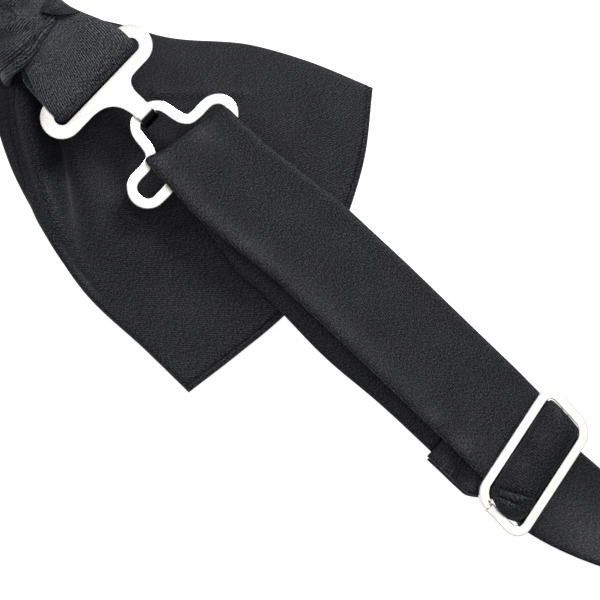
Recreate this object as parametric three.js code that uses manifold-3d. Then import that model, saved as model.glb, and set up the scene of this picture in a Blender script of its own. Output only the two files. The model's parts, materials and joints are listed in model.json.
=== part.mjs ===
// A ready-tied satin bow tie, laid face down with its back up, in millimetres and +Z up.
// The origin is the middle of the knot's front face, which lies on the table.
// +X runs from the knot along the strap to the clips and the slider, and +Z out of the back.
import * as THREE from "three";
import { mergeVertices } from "three/addons/utils/BufferGeometryUtils.js";
import Module from "manifold-3d";

const GAP = 0.3; // between pieces that touch
const PLAY = 0.6; // a strap's loop round a metal bar

// Knot: a doubled satin wrap round the gathered middle of the bow and round the strap.
const WRAP_LENGTH = 18;
const WRAP_WIDTH = 24;
const WRAP_THICK = 1.2;
const WRAP_CORNER = 3;
const CORE_INSET = 1.5; // of the gathered middle inside the wrap's edges
const CORE_WIDTH = 19;
const CORE_HEIGHT = 11;
const BINDING_LENGTH = 6;
const BINDING_THICK = 0.7;

// Wings: a sewn blade at the back and a folded loop at the front, on each side.
const WING_ROOT_X = WRAP_LENGTH / 2 - 1; // where the cloth comes out of the gathered middle
const ROOT_HALF_WIDTH = 9.3;
const BLADE_REACH = 57; // to the chord between its two corners
const BLADE_HALF_WIDTH = 27.4;
const BLADE_BULGE = 7.6; // of the end edge beyond that chord
const BLADE_SKEW = 6; // the lower corner reaches this much further, the upper one this much less
const BLADE_RISE = 2.8; // of the blade's middle line at its end
const BLADE_DIP = 2.6; // of that line halfway out
const PLY = 0.6;
const LINING_THICK = 0.7;
const LINING_MARGIN = 2.5;
const BLADE_TOP = 11.6;
const LOOP_REACH = 52;
const LOOP_HALF_WIDTH = 23;
const LOOP_HEIGHT = 7.6;
const LOOP_THICK = 1.4;
const LOOP_PINCH = 1.2; // half the hollow's height at the knot

// Straps
const BAND_WIDTH = 16;
const BAND_THICK = 1;
const HOOK_LINE_Y = 1.4;
const EYE_LINE_Y = 2.1;
const STRAP_LINE_Y = 3.7;
const EYE_BAND_WIDTH = 14.2; // where the strap is gathered into the eye's slot
const GATHER_LENGTH = 14; // over which it spreads again

// Hook clip: a flat plate with a long slot and a tongue that folds down and back.
const HOOK_THICK = 1;
const HOOK_X = 18.4; // middle of its slot
const HOOK_Z = 18.1;
const CLIP_SLOT_LENGTH = 19.1; // leaves the strap room on both sides
const HOOK_SLOT_WIDTH = 3.3;
const HOOK_BAR = 2.3;
const STEM_WIDTH = 3;
const STEM_FLARE = 5.2;
const TONGUE_REACH = 11.5; // from the slot's middle to the fold's outer face
const TONGUE_RETURN = 4.6;
const TONGUE_GAP = 2.2; // between the stem and the folded end

// Eye clip: one flat bar bent to an omega, with a small head loop and a long slot frame.
const EYE_THICK = 1.2;
const EYE_BAR = 1.75;
const HEAD_PLAY = 0.15; // of the head's bar inside the tongue's fold
const HEAD_HALF_WIDTH = 3.3;
const NECK_HALF_WIDTH = 3.9;
const EYE_FRONT_X = 34.4;
const EYE_REAR_X = 39.3;

// Slider: a rounded frame with a middle bar, closed from one bar with a split in its short end.
const SLIDER_X = 111;
const SLIDER_Y = 4.6;
const SLIDER_LENGTH = 22;
const SLIDER_BAR = 1.6;
const SLIDER_CORNER = 3;
const SLIDER_SPLIT = 0.4;
const SLIDER_TURN = (9.5 * Math.PI) / 180;
const STRAP_CLEARANCE = 0.74; // between the strap's lower run and the end of the blade below it
const BAR_ROOM = 0.75; // inner radius of the band's loop round a bar, as a share of the bar's width
const TAIL_LENGTH = 13; // of the sewn end, back from the middle bar
const TACK_LENGTH = 1.6;
const TACK_THICK = 0.5;

// Neck ring: the band stands on its edge, out of the way, between these furthest points.
const RING_RIGHT = 147;
const RING_RIGHT_Y = 28;
const RING_BACK = 74;
const RING_BACK_X = 75;
const RING_LEFT = -37;
const RING_LEFT_Y = 24;
const RING_EDGE_Z = 0.2; // of the band's lower edge above the table
const RING_LEFT_LIFT = 13; // of that edge where the band climbs onto the left wing
const ROUNDNESS = 0.5523; // handle share that makes a Bezier quarter round

// Sizes and levels that follow from the ones above
const CORE_LENGTH = WRAP_LENGTH - 2 * CORE_INSET;
const TONGUE_BEND = TONGUE_GAP / 2;
const TONGUE_TIP = HOOK_X + TONGUE_REACH - TONGUE_BEND - HOOK_THICK;
const FOLD_ROOM = Math.sqrt(TONGUE_BEND ** 2 - (EYE_THICK / 2) ** 2);
const HEAD_X = TONGUE_TIP + FOLD_ROOM - HEAD_PLAY - EYE_BAR / 2;
const WINDOW_EDGE = BAR_ROOM * SLIDER_BAR + 2 * (BAND_THICK + GAP); // from the slider's middle line
const SLIDER_WIDTH = 2 * (WINDOW_EDGE + SLIDER_BAR);
const EYE_Z = HOOK_Z - HOOK_THICK / 2 - TONGUE_GAP / 2;
const HOOK_LOOP_RADIUS = (HOOK_THICK + PLY + BAND_THICK) / 2;
const EYE_LOOP_RADIUS = (EYE_THICK + PLAY + BAND_THICK) / 2;
const STACK = BAND_THICK + GAP; // from one strap layer to the next
const UNDER_BAR = SLIDER_BAR / 2 + GAP + BAND_THICK / 2; // of the first layer below the slider's plane
const STRAP_TOP_Z = HOOK_Z + HOOK_LOOP_RADIUS;
const WRAP_HEIGHT = STRAP_TOP_Z + BAND_THICK / 2 + GAP + WRAP_THICK;
const LOWER_RUN_BOTTOM = EYE_Z - EYE_LOOP_RADIUS - BAND_THICK / 2;
const STRAP_SLOPE = Math.atan(
  (LOWER_RUN_BOTTOM - STRAP_CLEARANCE - BLADE_TOP) / (BLADE_REACH + BLADE_BULGE - EYE_REAR_X),
);
const STRAP_DROP = Math.tan(STRAP_SLOPE) * (SLIDER_X - EYE_REAR_X);
const SLIDER_Z = EYE_Z + EYE_LOOP_RADIUS - STRAP_DROP + UNDER_BAR;
const ENVELOPE_THICK = 2 * PLY + 2 * GAP + LINING_THICK;

const X = new THREE.Vector3(1, 0, 0);
const Y = new THREE.Vector3(0, 1, 0);
const Z = new THREE.Vector3(0, 0, 1);

const wasm = await Module();
wasm.setup();

function smooth(value) {
  const t = THREE.MathUtils.clamp(value, 0, 1);
  return t * t * (3 - 2 * t);
}

// A closed surface from points and triangles, turned so that its faces point out.
function closedGeometry(points, triangles) {
  let volume = 0;
  for (const [a, b, c] of triangles) {
    volume += points[a].dot(points[b].clone().cross(points[c]));
  }
  const facing = volume < 0 ? triangles.map(([a, b, c]) => [a, c, b]) : triangles;
  return new THREE.BufferGeometry().setFromPoints(points).setIndex(facing.flat());
}

// A wall of rings joined in order, each with the same number of points, closed at both ends.
function ringsGeometry(rings) {
  const count = rings[0].length;
  const triangles = [];
  for (let r = 0; r + 1 < rings.length; r++) {
    for (let k = 0; k < count; k++) {
      const a = r * count + k;
      const b = r * count + ((k + 1) % count);
      triangles.push([a, b, b + count], [a, b + count, a + count]);
    }
  }
  const last = (rings.length - 1) * count;
  for (let k = 1; k + 1 < count; k++) {
    triangles.push([0, k + 1, k], [last, last + k, last + k + 1]);
  }
  return closedGeometry(rings.flat(), triangles);
}

// A flat band through stations that give its middle, its direction across and its width.
function bandGeometry(stations, thick) {
  const rings = stations.map(({ at, across, width }, i) => {
    const before = stations[Math.max(i - 1, 0)].at;
    const after = stations[Math.min(i + 1, stations.length - 1)].at;
    const along = after.clone().sub(before).normalize();
    const out = along.cross(across).normalize();
    return [[1, 1], [-1, 1], [-1, -1], [1, -1]].map(([side, face]) =>
      at
        .clone()
        .addScaledVector(across, (side * width) / 2)
        .addScaledVector(out, (face * thick) / 2),
    );
  });
  return ringsGeometry(rings);
}

// Stations of a strap whose side view is a 2D path of lengthwise place and height.
function sideStations(path, middleY, width, divisions = 5) {
  return path.getPoints(divisions).map((p) => ({
    at: new THREE.Vector3(p.x, middleY, p.y),
    across: Y,
    width,
  }));
}

// A cloth leaf: surface(u, v) is its middle, with u out from the knot and v from edge to edge.
function leafGeometry(surface, thick, columns, rows) {
  const points = [];
  const triangles = [];
  for (const side of [1, -1]) {
    for (let i = 0; i <= columns; i++) {
      for (let j = 0; j <= rows; j++) {
        const p = surface(i / columns, (2 * j) / rows - 1);
        points.push(p.addScaledVector(Z, (side * thick) / 2));
      }
    }
  }
  const half = (columns + 1) * (rows + 1);
  const at = (i, j) => i * (rows + 1) + j;
  const quad = (a, b, c, d) => triangles.push([a, b, c], [a, c, d]);
  for (let i = 0; i < columns; i++) {
    for (let j = 0; j < rows; j++) {
      quad(at(i, j), at(i + 1, j), at(i + 1, j + 1), at(i, j + 1));
      quad(
        half + at(i, j),
        half + at(i, j + 1),
        half + at(i + 1, j + 1),
        half + at(i + 1, j),
      );
    }
  }
  const rim = [];
  for (let i = 0; i < columns; i++) rim.push(at(i, 0));
  for (let j = 0; j < rows; j++) rim.push(at(columns, j));
  for (let i = columns; i > 0; i--) rim.push(at(i, rows));
  for (let j = rows; j > 0; j--) rim.push(at(0, j));
  rim.forEach((a, k) => {
    const b = rim[(k + 1) % rim.length];
    quad(b, a, half + a, half + b);
  });
  return closedGeometry(points, triangles);
}

function solidOf(geometry) {
  const bare = geometry.clone();
  bare.deleteAttribute("normal");
  bare.deleteAttribute("uv");
  const merged = mergeVertices(bare, 1e-4);
  return new wasm.Manifold(
    new wasm.Mesh({
      numProp: 3,
      vertProperties: merged.attributes.position.array,
      triVerts: new Uint32Array(merged.index.array),
    }),
  );
}

function geometryOf(solid) {
  const mesh = solid.getMesh();
  return new THREE.BufferGeometry()
    .setAttribute("position", new THREE.BufferAttribute(mesh.vertProperties, 3))
    .setIndex(new THREE.BufferAttribute(mesh.triVerts, 1));
}

const join = (a, b) => geometryOf(solidOf(a).add(solidOf(b)));
const cut = (a, b) => geometryOf(solidOf(a).subtract(solidOf(b)));

function roundedRectangle(left, bottom, width, height, radius) {
  const right = left + width;
  const top = bottom + height;
  return new THREE.Shape()
    .moveTo(left + radius, bottom)
    .absarc(right - radius, bottom + radius, radius, -Math.PI / 2, 0)
    .absarc(right - radius, top - radius, radius, 0, Math.PI / 2)
    .absarc(left + radius, top - radius, radius, Math.PI / 2, Math.PI)
    .absarc(left + radius, bottom + radius, radius, Math.PI, 1.5 * Math.PI);
}

// A plate of a plan outline, with the middle of its thickness at height z.
function plateGeometry(shape, thick, z, curveSegments = 6) {
  const geometry = new THREE.ExtrudeGeometry(shape, {
    depth: thick,
    bevelEnabled: false,
    curveSegments,
  });
  return geometry.translate(0, 0, z - thick / 2);
}

// A prism along X of an outline drawn across the bow: first coordinate Y, second Z.
function crossPrism(shape, length, curveSegments = 5) {
  const geometry = new THREE.ExtrudeGeometry(shape, {
    depth: length,
    bevelEnabled: false,
    curveSegments,
  });
  geometry.translate(0, 0, -length / 2);
  return geometry.applyMatrix4(new THREE.Matrix4().makeBasis(Y, Z, X));
}

// ---- Knot ----

function sleeveAround(width, bottom, height, wall, corner) {
  const outline = roundedRectangle(-width / 2, bottom, width, height, corner);
  outline.holes.push(
    roundedRectangle(
      -width / 2 + wall,
      bottom + wall,
      width - 2 * wall,
      height - 2 * wall,
      corner - wall,
    ),
  );
  return outline;
}

const coreBottom = WRAP_THICK + 2 * GAP + BINDING_THICK;

function knotWrap() {
  return crossPrism(sleeveAround(WRAP_WIDTH, 0, WRAP_HEIGHT, WRAP_THICK, WRAP_CORNER), WRAP_LENGTH);
}

function waistCore() {
  const outline = roundedRectangle(-CORE_WIDTH / 2, coreBottom, CORE_WIDTH, CORE_HEIGHT, 3);
  return crossPrism(outline, CORE_LENGTH);
}

function bindingThread() {
  const reach = BINDING_THICK + GAP;
  const outline = sleeveAround(
    CORE_WIDTH + 2 * reach,
    coreBottom - reach,
    CORE_HEIGHT + 2 * reach,
    BINDING_THICK,
    3 + reach,
  );
  return crossPrism(outline, BINDING_LENGTH);
}

// ---- Wings ----

const bladeWidthAt = (u, margin = 0) =>
  ROOT_HALF_WIDTH +
  (BLADE_HALF_WIDTH - ROOT_HALF_WIDTH) * Math.pow(Math.sin((Math.max(u, 0) * Math.PI) / 2), 1.1) -
  margin;
const bladeMiddleAt = (u) => BLADE_RISE * u * u - BLADE_DIP * Math.sin(Math.PI * u);

function bladeSurface(u, v, margin) {
  const end = BLADE_REACH + BLADE_BULGE * (1 - v * v) - BLADE_SKEW * v - margin;
  const root = CORE_LENGTH / 2 + GAP;
  const x = root + (end - root) * u;
  const y = bladeMiddleAt(u) + bladeWidthAt(u, margin) * v;
  const z = BLADE_TOP - ENVELOPE_THICK / 2 - 1.5 * v * v * smooth(u * 2);
  return new THREE.Vector3(x, y, z);
}

// The sewn envelope of a blade is open at the knot, where its lining goes in.
function bladeEnvelope() {
  const outer = leafGeometry((u, v) => bladeSurface(u, v, 0), ENVELOPE_THICK, 12, 8);
  const hollow = leafGeometry(
    (u, v) => bladeSurface(u * 1.02 - 0.02, v, LINING_MARGIN - GAP),
    LINING_THICK + 2 * GAP,
    12,
    8,
  );
  return cut(outer, hollow);
}

function bladeLining() {
  return leafGeometry((u, v) => bladeSurface(u, v, LINING_MARGIN), LINING_THICK, 12, 8);
}

const loopWidthAt = (x) => {
  const u = THREE.MathUtils.clamp((x - WING_ROOT_X) / (LOOP_REACH - WING_ROOT_X), 0, 1);
  return ROOT_HALF_WIDTH + (LOOP_HALF_WIDTH - ROOT_HALF_WIDTH) * Math.sin((u * Math.PI) / 2);
};

// A front loop runs out flat on the table, turns back at its end and returns to the knot.
function frontLoop() {
  const low = LOOP_THICK / 2;
  const high = LOOP_HEIGHT - LOOP_THICK / 2;
  const radius = (high - low) / 2;
  const rootLow = coreBottom + LOOP_THICK / 2;
  const rootHigh = rootLow + 2 * LOOP_PINCH + LOOP_THICK;
  const root = CORE_LENGTH / 2 + GAP;
  const side = new THREE.Path()
    .moveTo(root, rootLow)
    .lineTo(WRAP_LENGTH / 2 + GAP, rootLow)
    .bezierCurveTo(root + 8, rootLow, root + 8, low, root + 18, low)
    .absarc(LOOP_REACH - radius, low + radius, radius, -Math.PI / 2, Math.PI / 2)
    .lineTo(root + 18, high)
    .bezierCurveTo(root + 8, high, root + 8, rootHigh, WRAP_LENGTH / 2 + GAP, rootHigh)
    .lineTo(root, rootHigh);
  const stations = side.getPoints(6).map((p) => ({
    at: new THREE.Vector3(p.x, 0, p.y),
    across: Y,
    width: 2 * loopWidthAt(p.x),
  }));
  return bandGeometry(stations, LOOP_THICK);
}

// ---- Hook clip and its strap ----

function longSlot(middleX, middleY, halfLength, radius) {
  return new THREE.Path()
    .moveTo(middleX + radius, middleY - halfLength + radius)
    .absarc(middleX, middleY + halfLength - radius, radius, 0, Math.PI)
    .absarc(middleX, middleY - halfLength + radius, radius, Math.PI, 2 * Math.PI);
}

const hookOuterRadius = HOOK_SLOT_WIDTH / 2 + HOOK_BAR;

function hookClip() {
  const half = CLIP_SLOT_LENGTH / 2 + HOOK_BAR;
  const plate = new THREE.Shape(longSlot(HOOK_X, HOOK_LINE_Y, half, hookOuterRadius).getPoints(8));
  plate.holes.push(longSlot(HOOK_X, HOOK_LINE_Y, CLIP_SLOT_LENGTH / 2, HOOK_SLOT_WIDTH / 2));
  const front = HOOK_X + hookOuterRadius;
  const narrow = STEM_WIDTH / 2;
  const wide = narrow + STEM_FLARE;
  const stem = new THREE.Shape()
    .moveTo(front - HOOK_BAR / 2, HOOK_LINE_Y - wide)
    .lineTo(front, HOOK_LINE_Y - wide)
    .bezierCurveTo(front + 0.6, HOOK_LINE_Y - narrow - 1, front + 2, HOOK_LINE_Y - narrow,
      front + 3.6, HOOK_LINE_Y - narrow)
    .lineTo(TONGUE_TIP, HOOK_LINE_Y - narrow)
    .lineTo(TONGUE_TIP, HOOK_LINE_Y + narrow)
    .lineTo(front + 3.6, HOOK_LINE_Y + narrow)
    .bezierCurveTo(front + 2, HOOK_LINE_Y + narrow, front + 0.6, HOOK_LINE_Y + narrow + 1,
      front, HOOK_LINE_Y + wide)
    .lineTo(front - HOOK_BAR / 2, HOOK_LINE_Y + wide);
  const flat = join(plateGeometry(plate, HOOK_THICK, HOOK_Z), plateGeometry(stem, HOOK_THICK, HOOK_Z));
  const radius = TONGUE_BEND + HOOK_THICK / 2;
  const fold = new THREE.Path()
    .moveTo(TONGUE_TIP - 1, HOOK_Z)
    .absarc(TONGUE_TIP, HOOK_Z - radius, radius, Math.PI / 2, -Math.PI / 2, true)
    .lineTo(TONGUE_TIP - TONGUE_RETURN, HOOK_Z - 2 * radius);
  const tongue = bandGeometry(sideStations(fold, HOOK_LINE_Y, STEM_WIDTH, 8), HOOK_THICK);
  return join(flat, tongue);
}

// The strap comes out under the wrap, turns round the hook's rear bar and goes back below it.
function hookStrap() {
  const bend = HOOK_X + HOOK_SLOT_WIDTH / 2 - GAP - BAND_THICK / 2 - HOOK_LOOP_RADIUS;
  const side = new THREE.Path()
    .moveTo(-GAP, STRAP_TOP_Z)
    .absarc(bend, HOOK_Z, HOOK_LOOP_RADIUS, Math.PI / 2, -Math.PI / 2, true)
    .lineTo(-WRAP_LENGTH / 4, HOOK_Z - HOOK_LOOP_RADIUS);
  return bandGeometry(sideStations(side, HOOK_LINE_Y, BAND_WIDTH, 8), BAND_THICK);
}

// The stitches under the wrap that hold the neck band's end to the strap's lower ply.
function bandTack() {
  const floor = HOOK_Z - HOOK_LOOP_RADIUS + BAND_THICK / 2 + GAP;
  const ceiling = STRAP_TOP_Z - BAND_THICK / 2 - GAP;
  const tack = new THREE.BoxGeometry(TACK_LENGTH, BAND_WIDTH - 4, ceiling - floor);
  return tack.translate(-GAP - 1.5 * TACK_LENGTH, HOOK_LINE_Y, (floor + ceiling) / 2);
}

// ---- Eye clip and the adjusting loop ----

// The middle line of the eye's bar on the +Y side, from the head to the rear bar.
function eyeHalfLine() {
  const outer = CLIP_SLOT_LENGTH / 2 + EYE_BAR / 2;
  const round = (EYE_REAR_X - EYE_FRONT_X) / 2;
  const line = new THREE.Path()
    .moveTo(HEAD_X, 0)
    .lineTo(HEAD_X, HEAD_HALF_WIDTH - 1.6)
    .quadraticCurveTo(HEAD_X, HEAD_HALF_WIDTH, HEAD_X + 1.8, HEAD_HALF_WIDTH)
    .lineTo(EYE_FRONT_X - 2.2, NECK_HALF_WIDTH - 0.2)
    .quadraticCurveTo(EYE_FRONT_X, NECK_HALF_WIDTH, EYE_FRONT_X, NECK_HALF_WIDTH + 2.2)
    .absarc(EYE_FRONT_X + round, outer - round, round, Math.PI, 0, true)
    .lineTo(EYE_REAR_X, 0);
  return line.getPoints(6);
}

function eyeClip() {
  const upper = eyeHalfLine().slice(1, -1);
  const lower = upper.toReversed().map((p) => new THREE.Vector2(p.x, -p.y));
  const line = [...upper, ...lower];
  const offset = (side) =>
    line.map((p, i) => {
      const before = line[(i + line.length - 1) % line.length];
      const after = line[(i + 1) % line.length];
      const a = p.clone().sub(before).normalize();
      const b = after.clone().sub(p).normalize();
      const out = new THREE.Vector2(-(a.y + b.y), a.x + b.x).normalize();
      const miter = EYE_BAR / 2 / Math.max(0.5, out.dot(new THREE.Vector2(-a.y, a.x)));
      return p.clone().addScaledVector(out, side * miter);
    });
  const plate = plateGeometry(new THREE.Shape(offset(1)), EYE_THICK, EYE_Z);
  const opening = plateGeometry(new THREE.Shape(offset(-1)), 2 * EYE_THICK, EYE_Z);
  return cut(plate, opening).translate(0, EYE_LINE_Y, 0);
}

const slopeAlong = (distance) => -Math.tan(STRAP_SLOPE) * distance;

// A place in the slider's own axes: along the strap, across it, and out of the back.
const sliderPlace = new THREE.Matrix4()
  .makeTranslation(SLIDER_X, SLIDER_Y, SLIDER_Z)
  .multiply(new THREE.Matrix4().makeRotationY(STRAP_SLOPE))
  .multiply(new THREE.Matrix4().makeRotationZ(SLIDER_TURN));
const atSlider = (along, across, out) =>
  new THREE.Vector3(along, across, out).applyMatrix4(sliderPlace);
const acrossSlider = Y.clone().transformDirection(sliderPlace);

const humpRadius = WINDOW_EDGE - GAP - BAND_THICK / 2;
const tailRadius = humpRadius - STACK;

// From the slider's first bar to the eye, round its rear bar, and back below to the sewn end.
function adjustingLoop() {
  const bend = EYE_FRONT_X + EYE_BAR / 2 + GAP + BAND_THICK / 2 + EYE_LOOP_RADIUS;
  const round = new THREE.Path().absarc(
    bend, EYE_Z, EYE_LOOP_RADIUS, Math.PI / 2, 1.5 * Math.PI);
  const first = atSlider(-WINDOW_EDGE - SLIDER_BAR / 2, 0.9, -UNDER_BAR);
  const last = atSlider(-TAIL_LENGTH - GAP, 0, -UNDER_BAR - 2 * STACK);
  const over = atSlider(-TAIL_LENGTH, 0.9, -UNDER_BAR + TACK_THICK + GAP);
  const above = new THREE.Vector3(EYE_REAR_X + 2, STRAP_LINE_Y, EYE_Z + EYE_LOOP_RADIUS);
  const below = new THREE.Vector3(EYE_REAR_X + 2, STRAP_LINE_Y, EYE_Z - EYE_LOOP_RADIUS);
  const widthAt = (x) =>
    EYE_BAND_WIDTH +
    (BAND_WIDTH - EYE_BAND_WIDTH) * smooth((x - EYE_REAR_X) / GATHER_LENGTH);
  const run = (from, to) =>
    [0, 1, 2, 3, 4, 5].map((i) => {
      const at = from.clone().lerp(to, i / 6);
      return { at, across: Y, width: widthAt(at.x) };
    });
  const rows = [
    { at: first, across: acrossSlider, width: BAND_WIDTH },
    ...run(over, above),
    ...run(above, new THREE.Vector3(bend, STRAP_LINE_Y, above.z)),
    ...sideStations(round, STRAP_LINE_Y, EYE_BAND_WIDTH, 8),
    ...run(below, last),
    { at: last, across: acrossSlider, width: BAND_WIDTH },
  ];
  return bandGeometry(rows, BAND_THICK);
}

// ---- Slider and what it carries ----

function sliderFrame() {
  const outline = roundedRectangle(
    -SLIDER_WIDTH / 2, -SLIDER_LENGTH / 2, SLIDER_WIDTH, SLIDER_LENGTH, SLIDER_CORNER);
  const windowWidth = (SLIDER_WIDTH - 3 * SLIDER_BAR) / 2;
  const windowLength = SLIDER_LENGTH - 2 * SLIDER_BAR;
  for (const left of [-WINDOW_EDGE, SLIDER_BAR / 2]) {
    const hole = roundedRectangle(left, -windowLength / 2, windowWidth, windowLength, 1.2);
    outline.holes.push(hole);
  }
  const frame = plateGeometry(outline, SLIDER_BAR, 0);
  const split = new THREE.BoxGeometry(SLIDER_SPLIT, 2 * SLIDER_BAR, 2 * SLIDER_BAR);
  split.translate(-SLIDER_BAR / 2 - windowWidth / 2, -SLIDER_LENGTH / 2 + SLIDER_BAR / 2, 0);
  return cut(frame, split).applyMatrix4(sliderPlace);
}

// A strap's side view in the slider's own axes, as stations.
function sliderStations(path, divisions, middle = 0) {
  return path.getPoints(divisions).map((p) => ({
    at: atSlider(p.x, middle, p.y),
    across: acrossSlider,
    width: BAND_WIDTH,
  }));
}

// The band's stretch inside the slider's frame, up over the middle bar and down again.
function sliderHump() {
  const foot = -UNDER_BAR;
  const side = new THREE.Path()
    .moveTo(-humpRadius - 0.45, foot)
    .absarc(0, 0, humpRadius, Math.PI, 0, true)
    .lineTo(humpRadius + 0.45, foot);
  return bandGeometry(sliderStations(side, 10, 0.6), BAND_THICK);
}

// The band's end, turned round the middle bar and sewn down on itself below the strap.
function sewnTail() {
  const upper = -UNDER_BAR - STACK;
  const lower = upper - STACK;
  const side = new THREE.Path()
    .moveTo(-TAIL_LENGTH, upper)
    .lineTo(-WINDOW_EDGE, upper)
    .quadraticCurveTo(-tailRadius, upper, -tailRadius, 0)
    .absarc(0, 0, tailRadius, Math.PI, 0, true)
    .quadraticCurveTo(tailRadius, lower, -WINDOW_EDGE, lower)
    .lineTo(-TAIL_LENGTH, lower);
  return bandGeometry(sliderStations(side, 8), BAND_THICK);
}

function tailTack() {
  const tack = new THREE.BoxGeometry(TACK_LENGTH, BAND_WIDTH - 4, TACK_THICK);
  const height = -UNDER_BAR - STACK + BAND_THICK / 2 + GAP / 2 + TACK_THICK / 2;
  return tack.translate(-TAIL_LENGTH + 2 + TACK_LENGTH / 2, 0, height).applyMatrix4(sliderPlace);
}

// ---- Neck band ----

// A quarter turn from one point to another, leaving along one direction and arriving along another.
function quarter(from, leave, to, arrive) {
  const span = new THREE.Vector2(Math.abs(to.x - from.x), Math.abs(to.y - from.y));
  const reach = (direction) =>
    ROUNDNESS * (Math.abs(direction.x) * span.x + Math.abs(direction.y) * span.y);
  return new THREE.CubicBezierCurve(
    from,
    from.clone().addScaledVector(leave, reach(leave)),
    to.clone().addScaledVector(arrive, -reach(arrive)),
    to,
  );
}

const bandStart = atSlider(WINDOW_EDGE + SLIDER_BAR / 2, 0, -UNDER_BAR);
const knotEnd = new THREE.Vector2(-WRAP_LENGTH / 2 - 2, HOOK_LINE_Y);
const rightmost = new THREE.Vector2(RING_RIGHT, RING_RIGHT_Y);
const furthest = new THREE.Vector2(RING_BACK_X, RING_BACK);
const leftmost = new THREE.Vector2(RING_LEFT, RING_LEFT_Y);
const edgeZ = RING_EDGE_Z + BAND_WIDTH / 2;

// Stations along a plan curve, with the band's height and how far it has turned onto its edge.
function ringStations(curve, count, heightAt, turnAt) {
  return curve.getSpacedPoints(count).map((p, i) => {
    const t = i / count;
    const along = curve.getTangentAt(t);
    const turn = turnAt(t) * (Math.PI / 2);
    const level = new THREE.Vector3(-along.y, along.x, 0);
    return {
      at: new THREE.Vector3(p.x, p.y, heightAt(t)),
      across: level.multiplyScalar(Math.cos(turn)).addScaledVector(Z, -Math.sin(turn)),
      width: BAND_WIDTH,
    };
  });
}

// From under the slider's far bar the band turns onto its edge.
function bandTwist() {
  const heading = new THREE.Vector2(Math.cos(SLIDER_TURN), Math.sin(SLIDER_TURN));
  const start = new THREE.Vector2(bandStart.x, bandStart.y);
  const curve = quarter(start, heading, rightmost, new THREE.Vector2(0, 1));
  const stations = ringStations(
    curve,
    14,
    (t) => bandStart.z + (edgeZ - bandStart.z) * smooth(t),
    (t) => 0.45 * t + 0.55 * smooth(t),
  );
  stations[0].across = acrossSlider;
  return bandGeometry(stations, BAND_THICK);
}

// The rest of the neck band: round the back, up onto the left wing and flat into the knot.
function neckBand() {
  const lifted = edgeZ + RING_LEFT_LIFT;
  const right = ringStations(
    quarter(rightmost, new THREE.Vector2(0, 1), furthest, new THREE.Vector2(-1, 0)),
    14,
    () => edgeZ,
    () => 1,
  );
  right[0].at.y += GAP;
  const left = ringStations(
    quarter(furthest, new THREE.Vector2(-1, 0), leftmost, new THREE.Vector2(0, -1)),
    18,
    (t) => edgeZ + RING_LEFT_LIFT * smooth(t),
    () => 1,
  );
  const home = ringStations(
    quarter(leftmost, new THREE.Vector2(0, -1), knotEnd, new THREE.Vector2(1, 0)),
    14,
    (t) => lifted + (STRAP_TOP_Z - lifted) * smooth(t),
    (t) => 1 - smooth(t),
  );
  const joined = {
    at: new THREE.Vector3(-2 * GAP, HOOK_LINE_Y, STRAP_TOP_Z),
    across: Y,
    width: BAND_WIDTH,
  };
  return bandGeometry([...right, ...left.slice(1), ...home.slice(1), joined], BAND_THICK);
}

// ---- Assembly ----

const satin = new THREE.MeshStandardMaterial({ color: 0x1b1c20, roughness: 0.55, metalness: 0 });
const lining = new THREE.MeshStandardMaterial({ color: 0xd8d5cc, roughness: 0.95, metalness: 0 });
const thread = new THREE.MeshStandardMaterial({ color: 0x101114, roughness: 0.8, metalness: 0 });
const nickel = new THREE.MeshStandardMaterial({ color: 0xe4e1dc, roughness: 0.28, metalness: 1 });

const bowTie = new THREE.Group();

function add(name, geometry, material, parent = bowTie) {
  const mesh = new THREE.Mesh(geometry, material);
  mesh.name = name;
  parent.add(mesh);
}

add("knot_wrap", knotWrap(), satin);
add("waist_core", waistCore(), satin);
add("binding_thread", bindingThread(), thread);

// The left side is the right side turned half round, as a tied bow's two sides are.
for (const [side, turn] of [["right", 0], ["left", Math.PI]]) {
  const wing = new THREE.Group();
  wing.rotation.z = turn;
  bowTie.add(wing);
  add(`rear_blade_${side}`, bladeEnvelope(), satin, wing);
  add(`blade_lining_${side}`, bladeLining(), lining, wing);
  add(`front_loop_${side}`, frontLoop(), satin, wing);
}

add("hook_strap", hookStrap(), satin);
add("band_tack", bandTack(), thread);
add("hook_clip", hookClip(), nickel);
add("eye_clip", eyeClip(), nickel);
add("adjusting_loop", adjustingLoop(), satin);
add("slider_frame", sliderFrame(), nickel);
add("slider_hump", sliderHump(), satin);
add("sewn_tail", sewnTail(), satin);
add("tail_tack", tailTack(), thread);
add("band_twist", bandTwist(), satin);
add("neck_band", neckBand(), satin);

export default bowTie;
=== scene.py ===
"""A ready-tied black satin bow tie, laid face down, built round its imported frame.

Lengths are in millimetres until a mesh is made. +X runs from the knot along the strap to the clips
and the slider, +Y towards the side round which the neck band lies, and +Z out of the bow's back.
"""
import json
import math

import bmesh
import bpy
import numpy as np
from mathutils import Matrix, Vector


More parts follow.
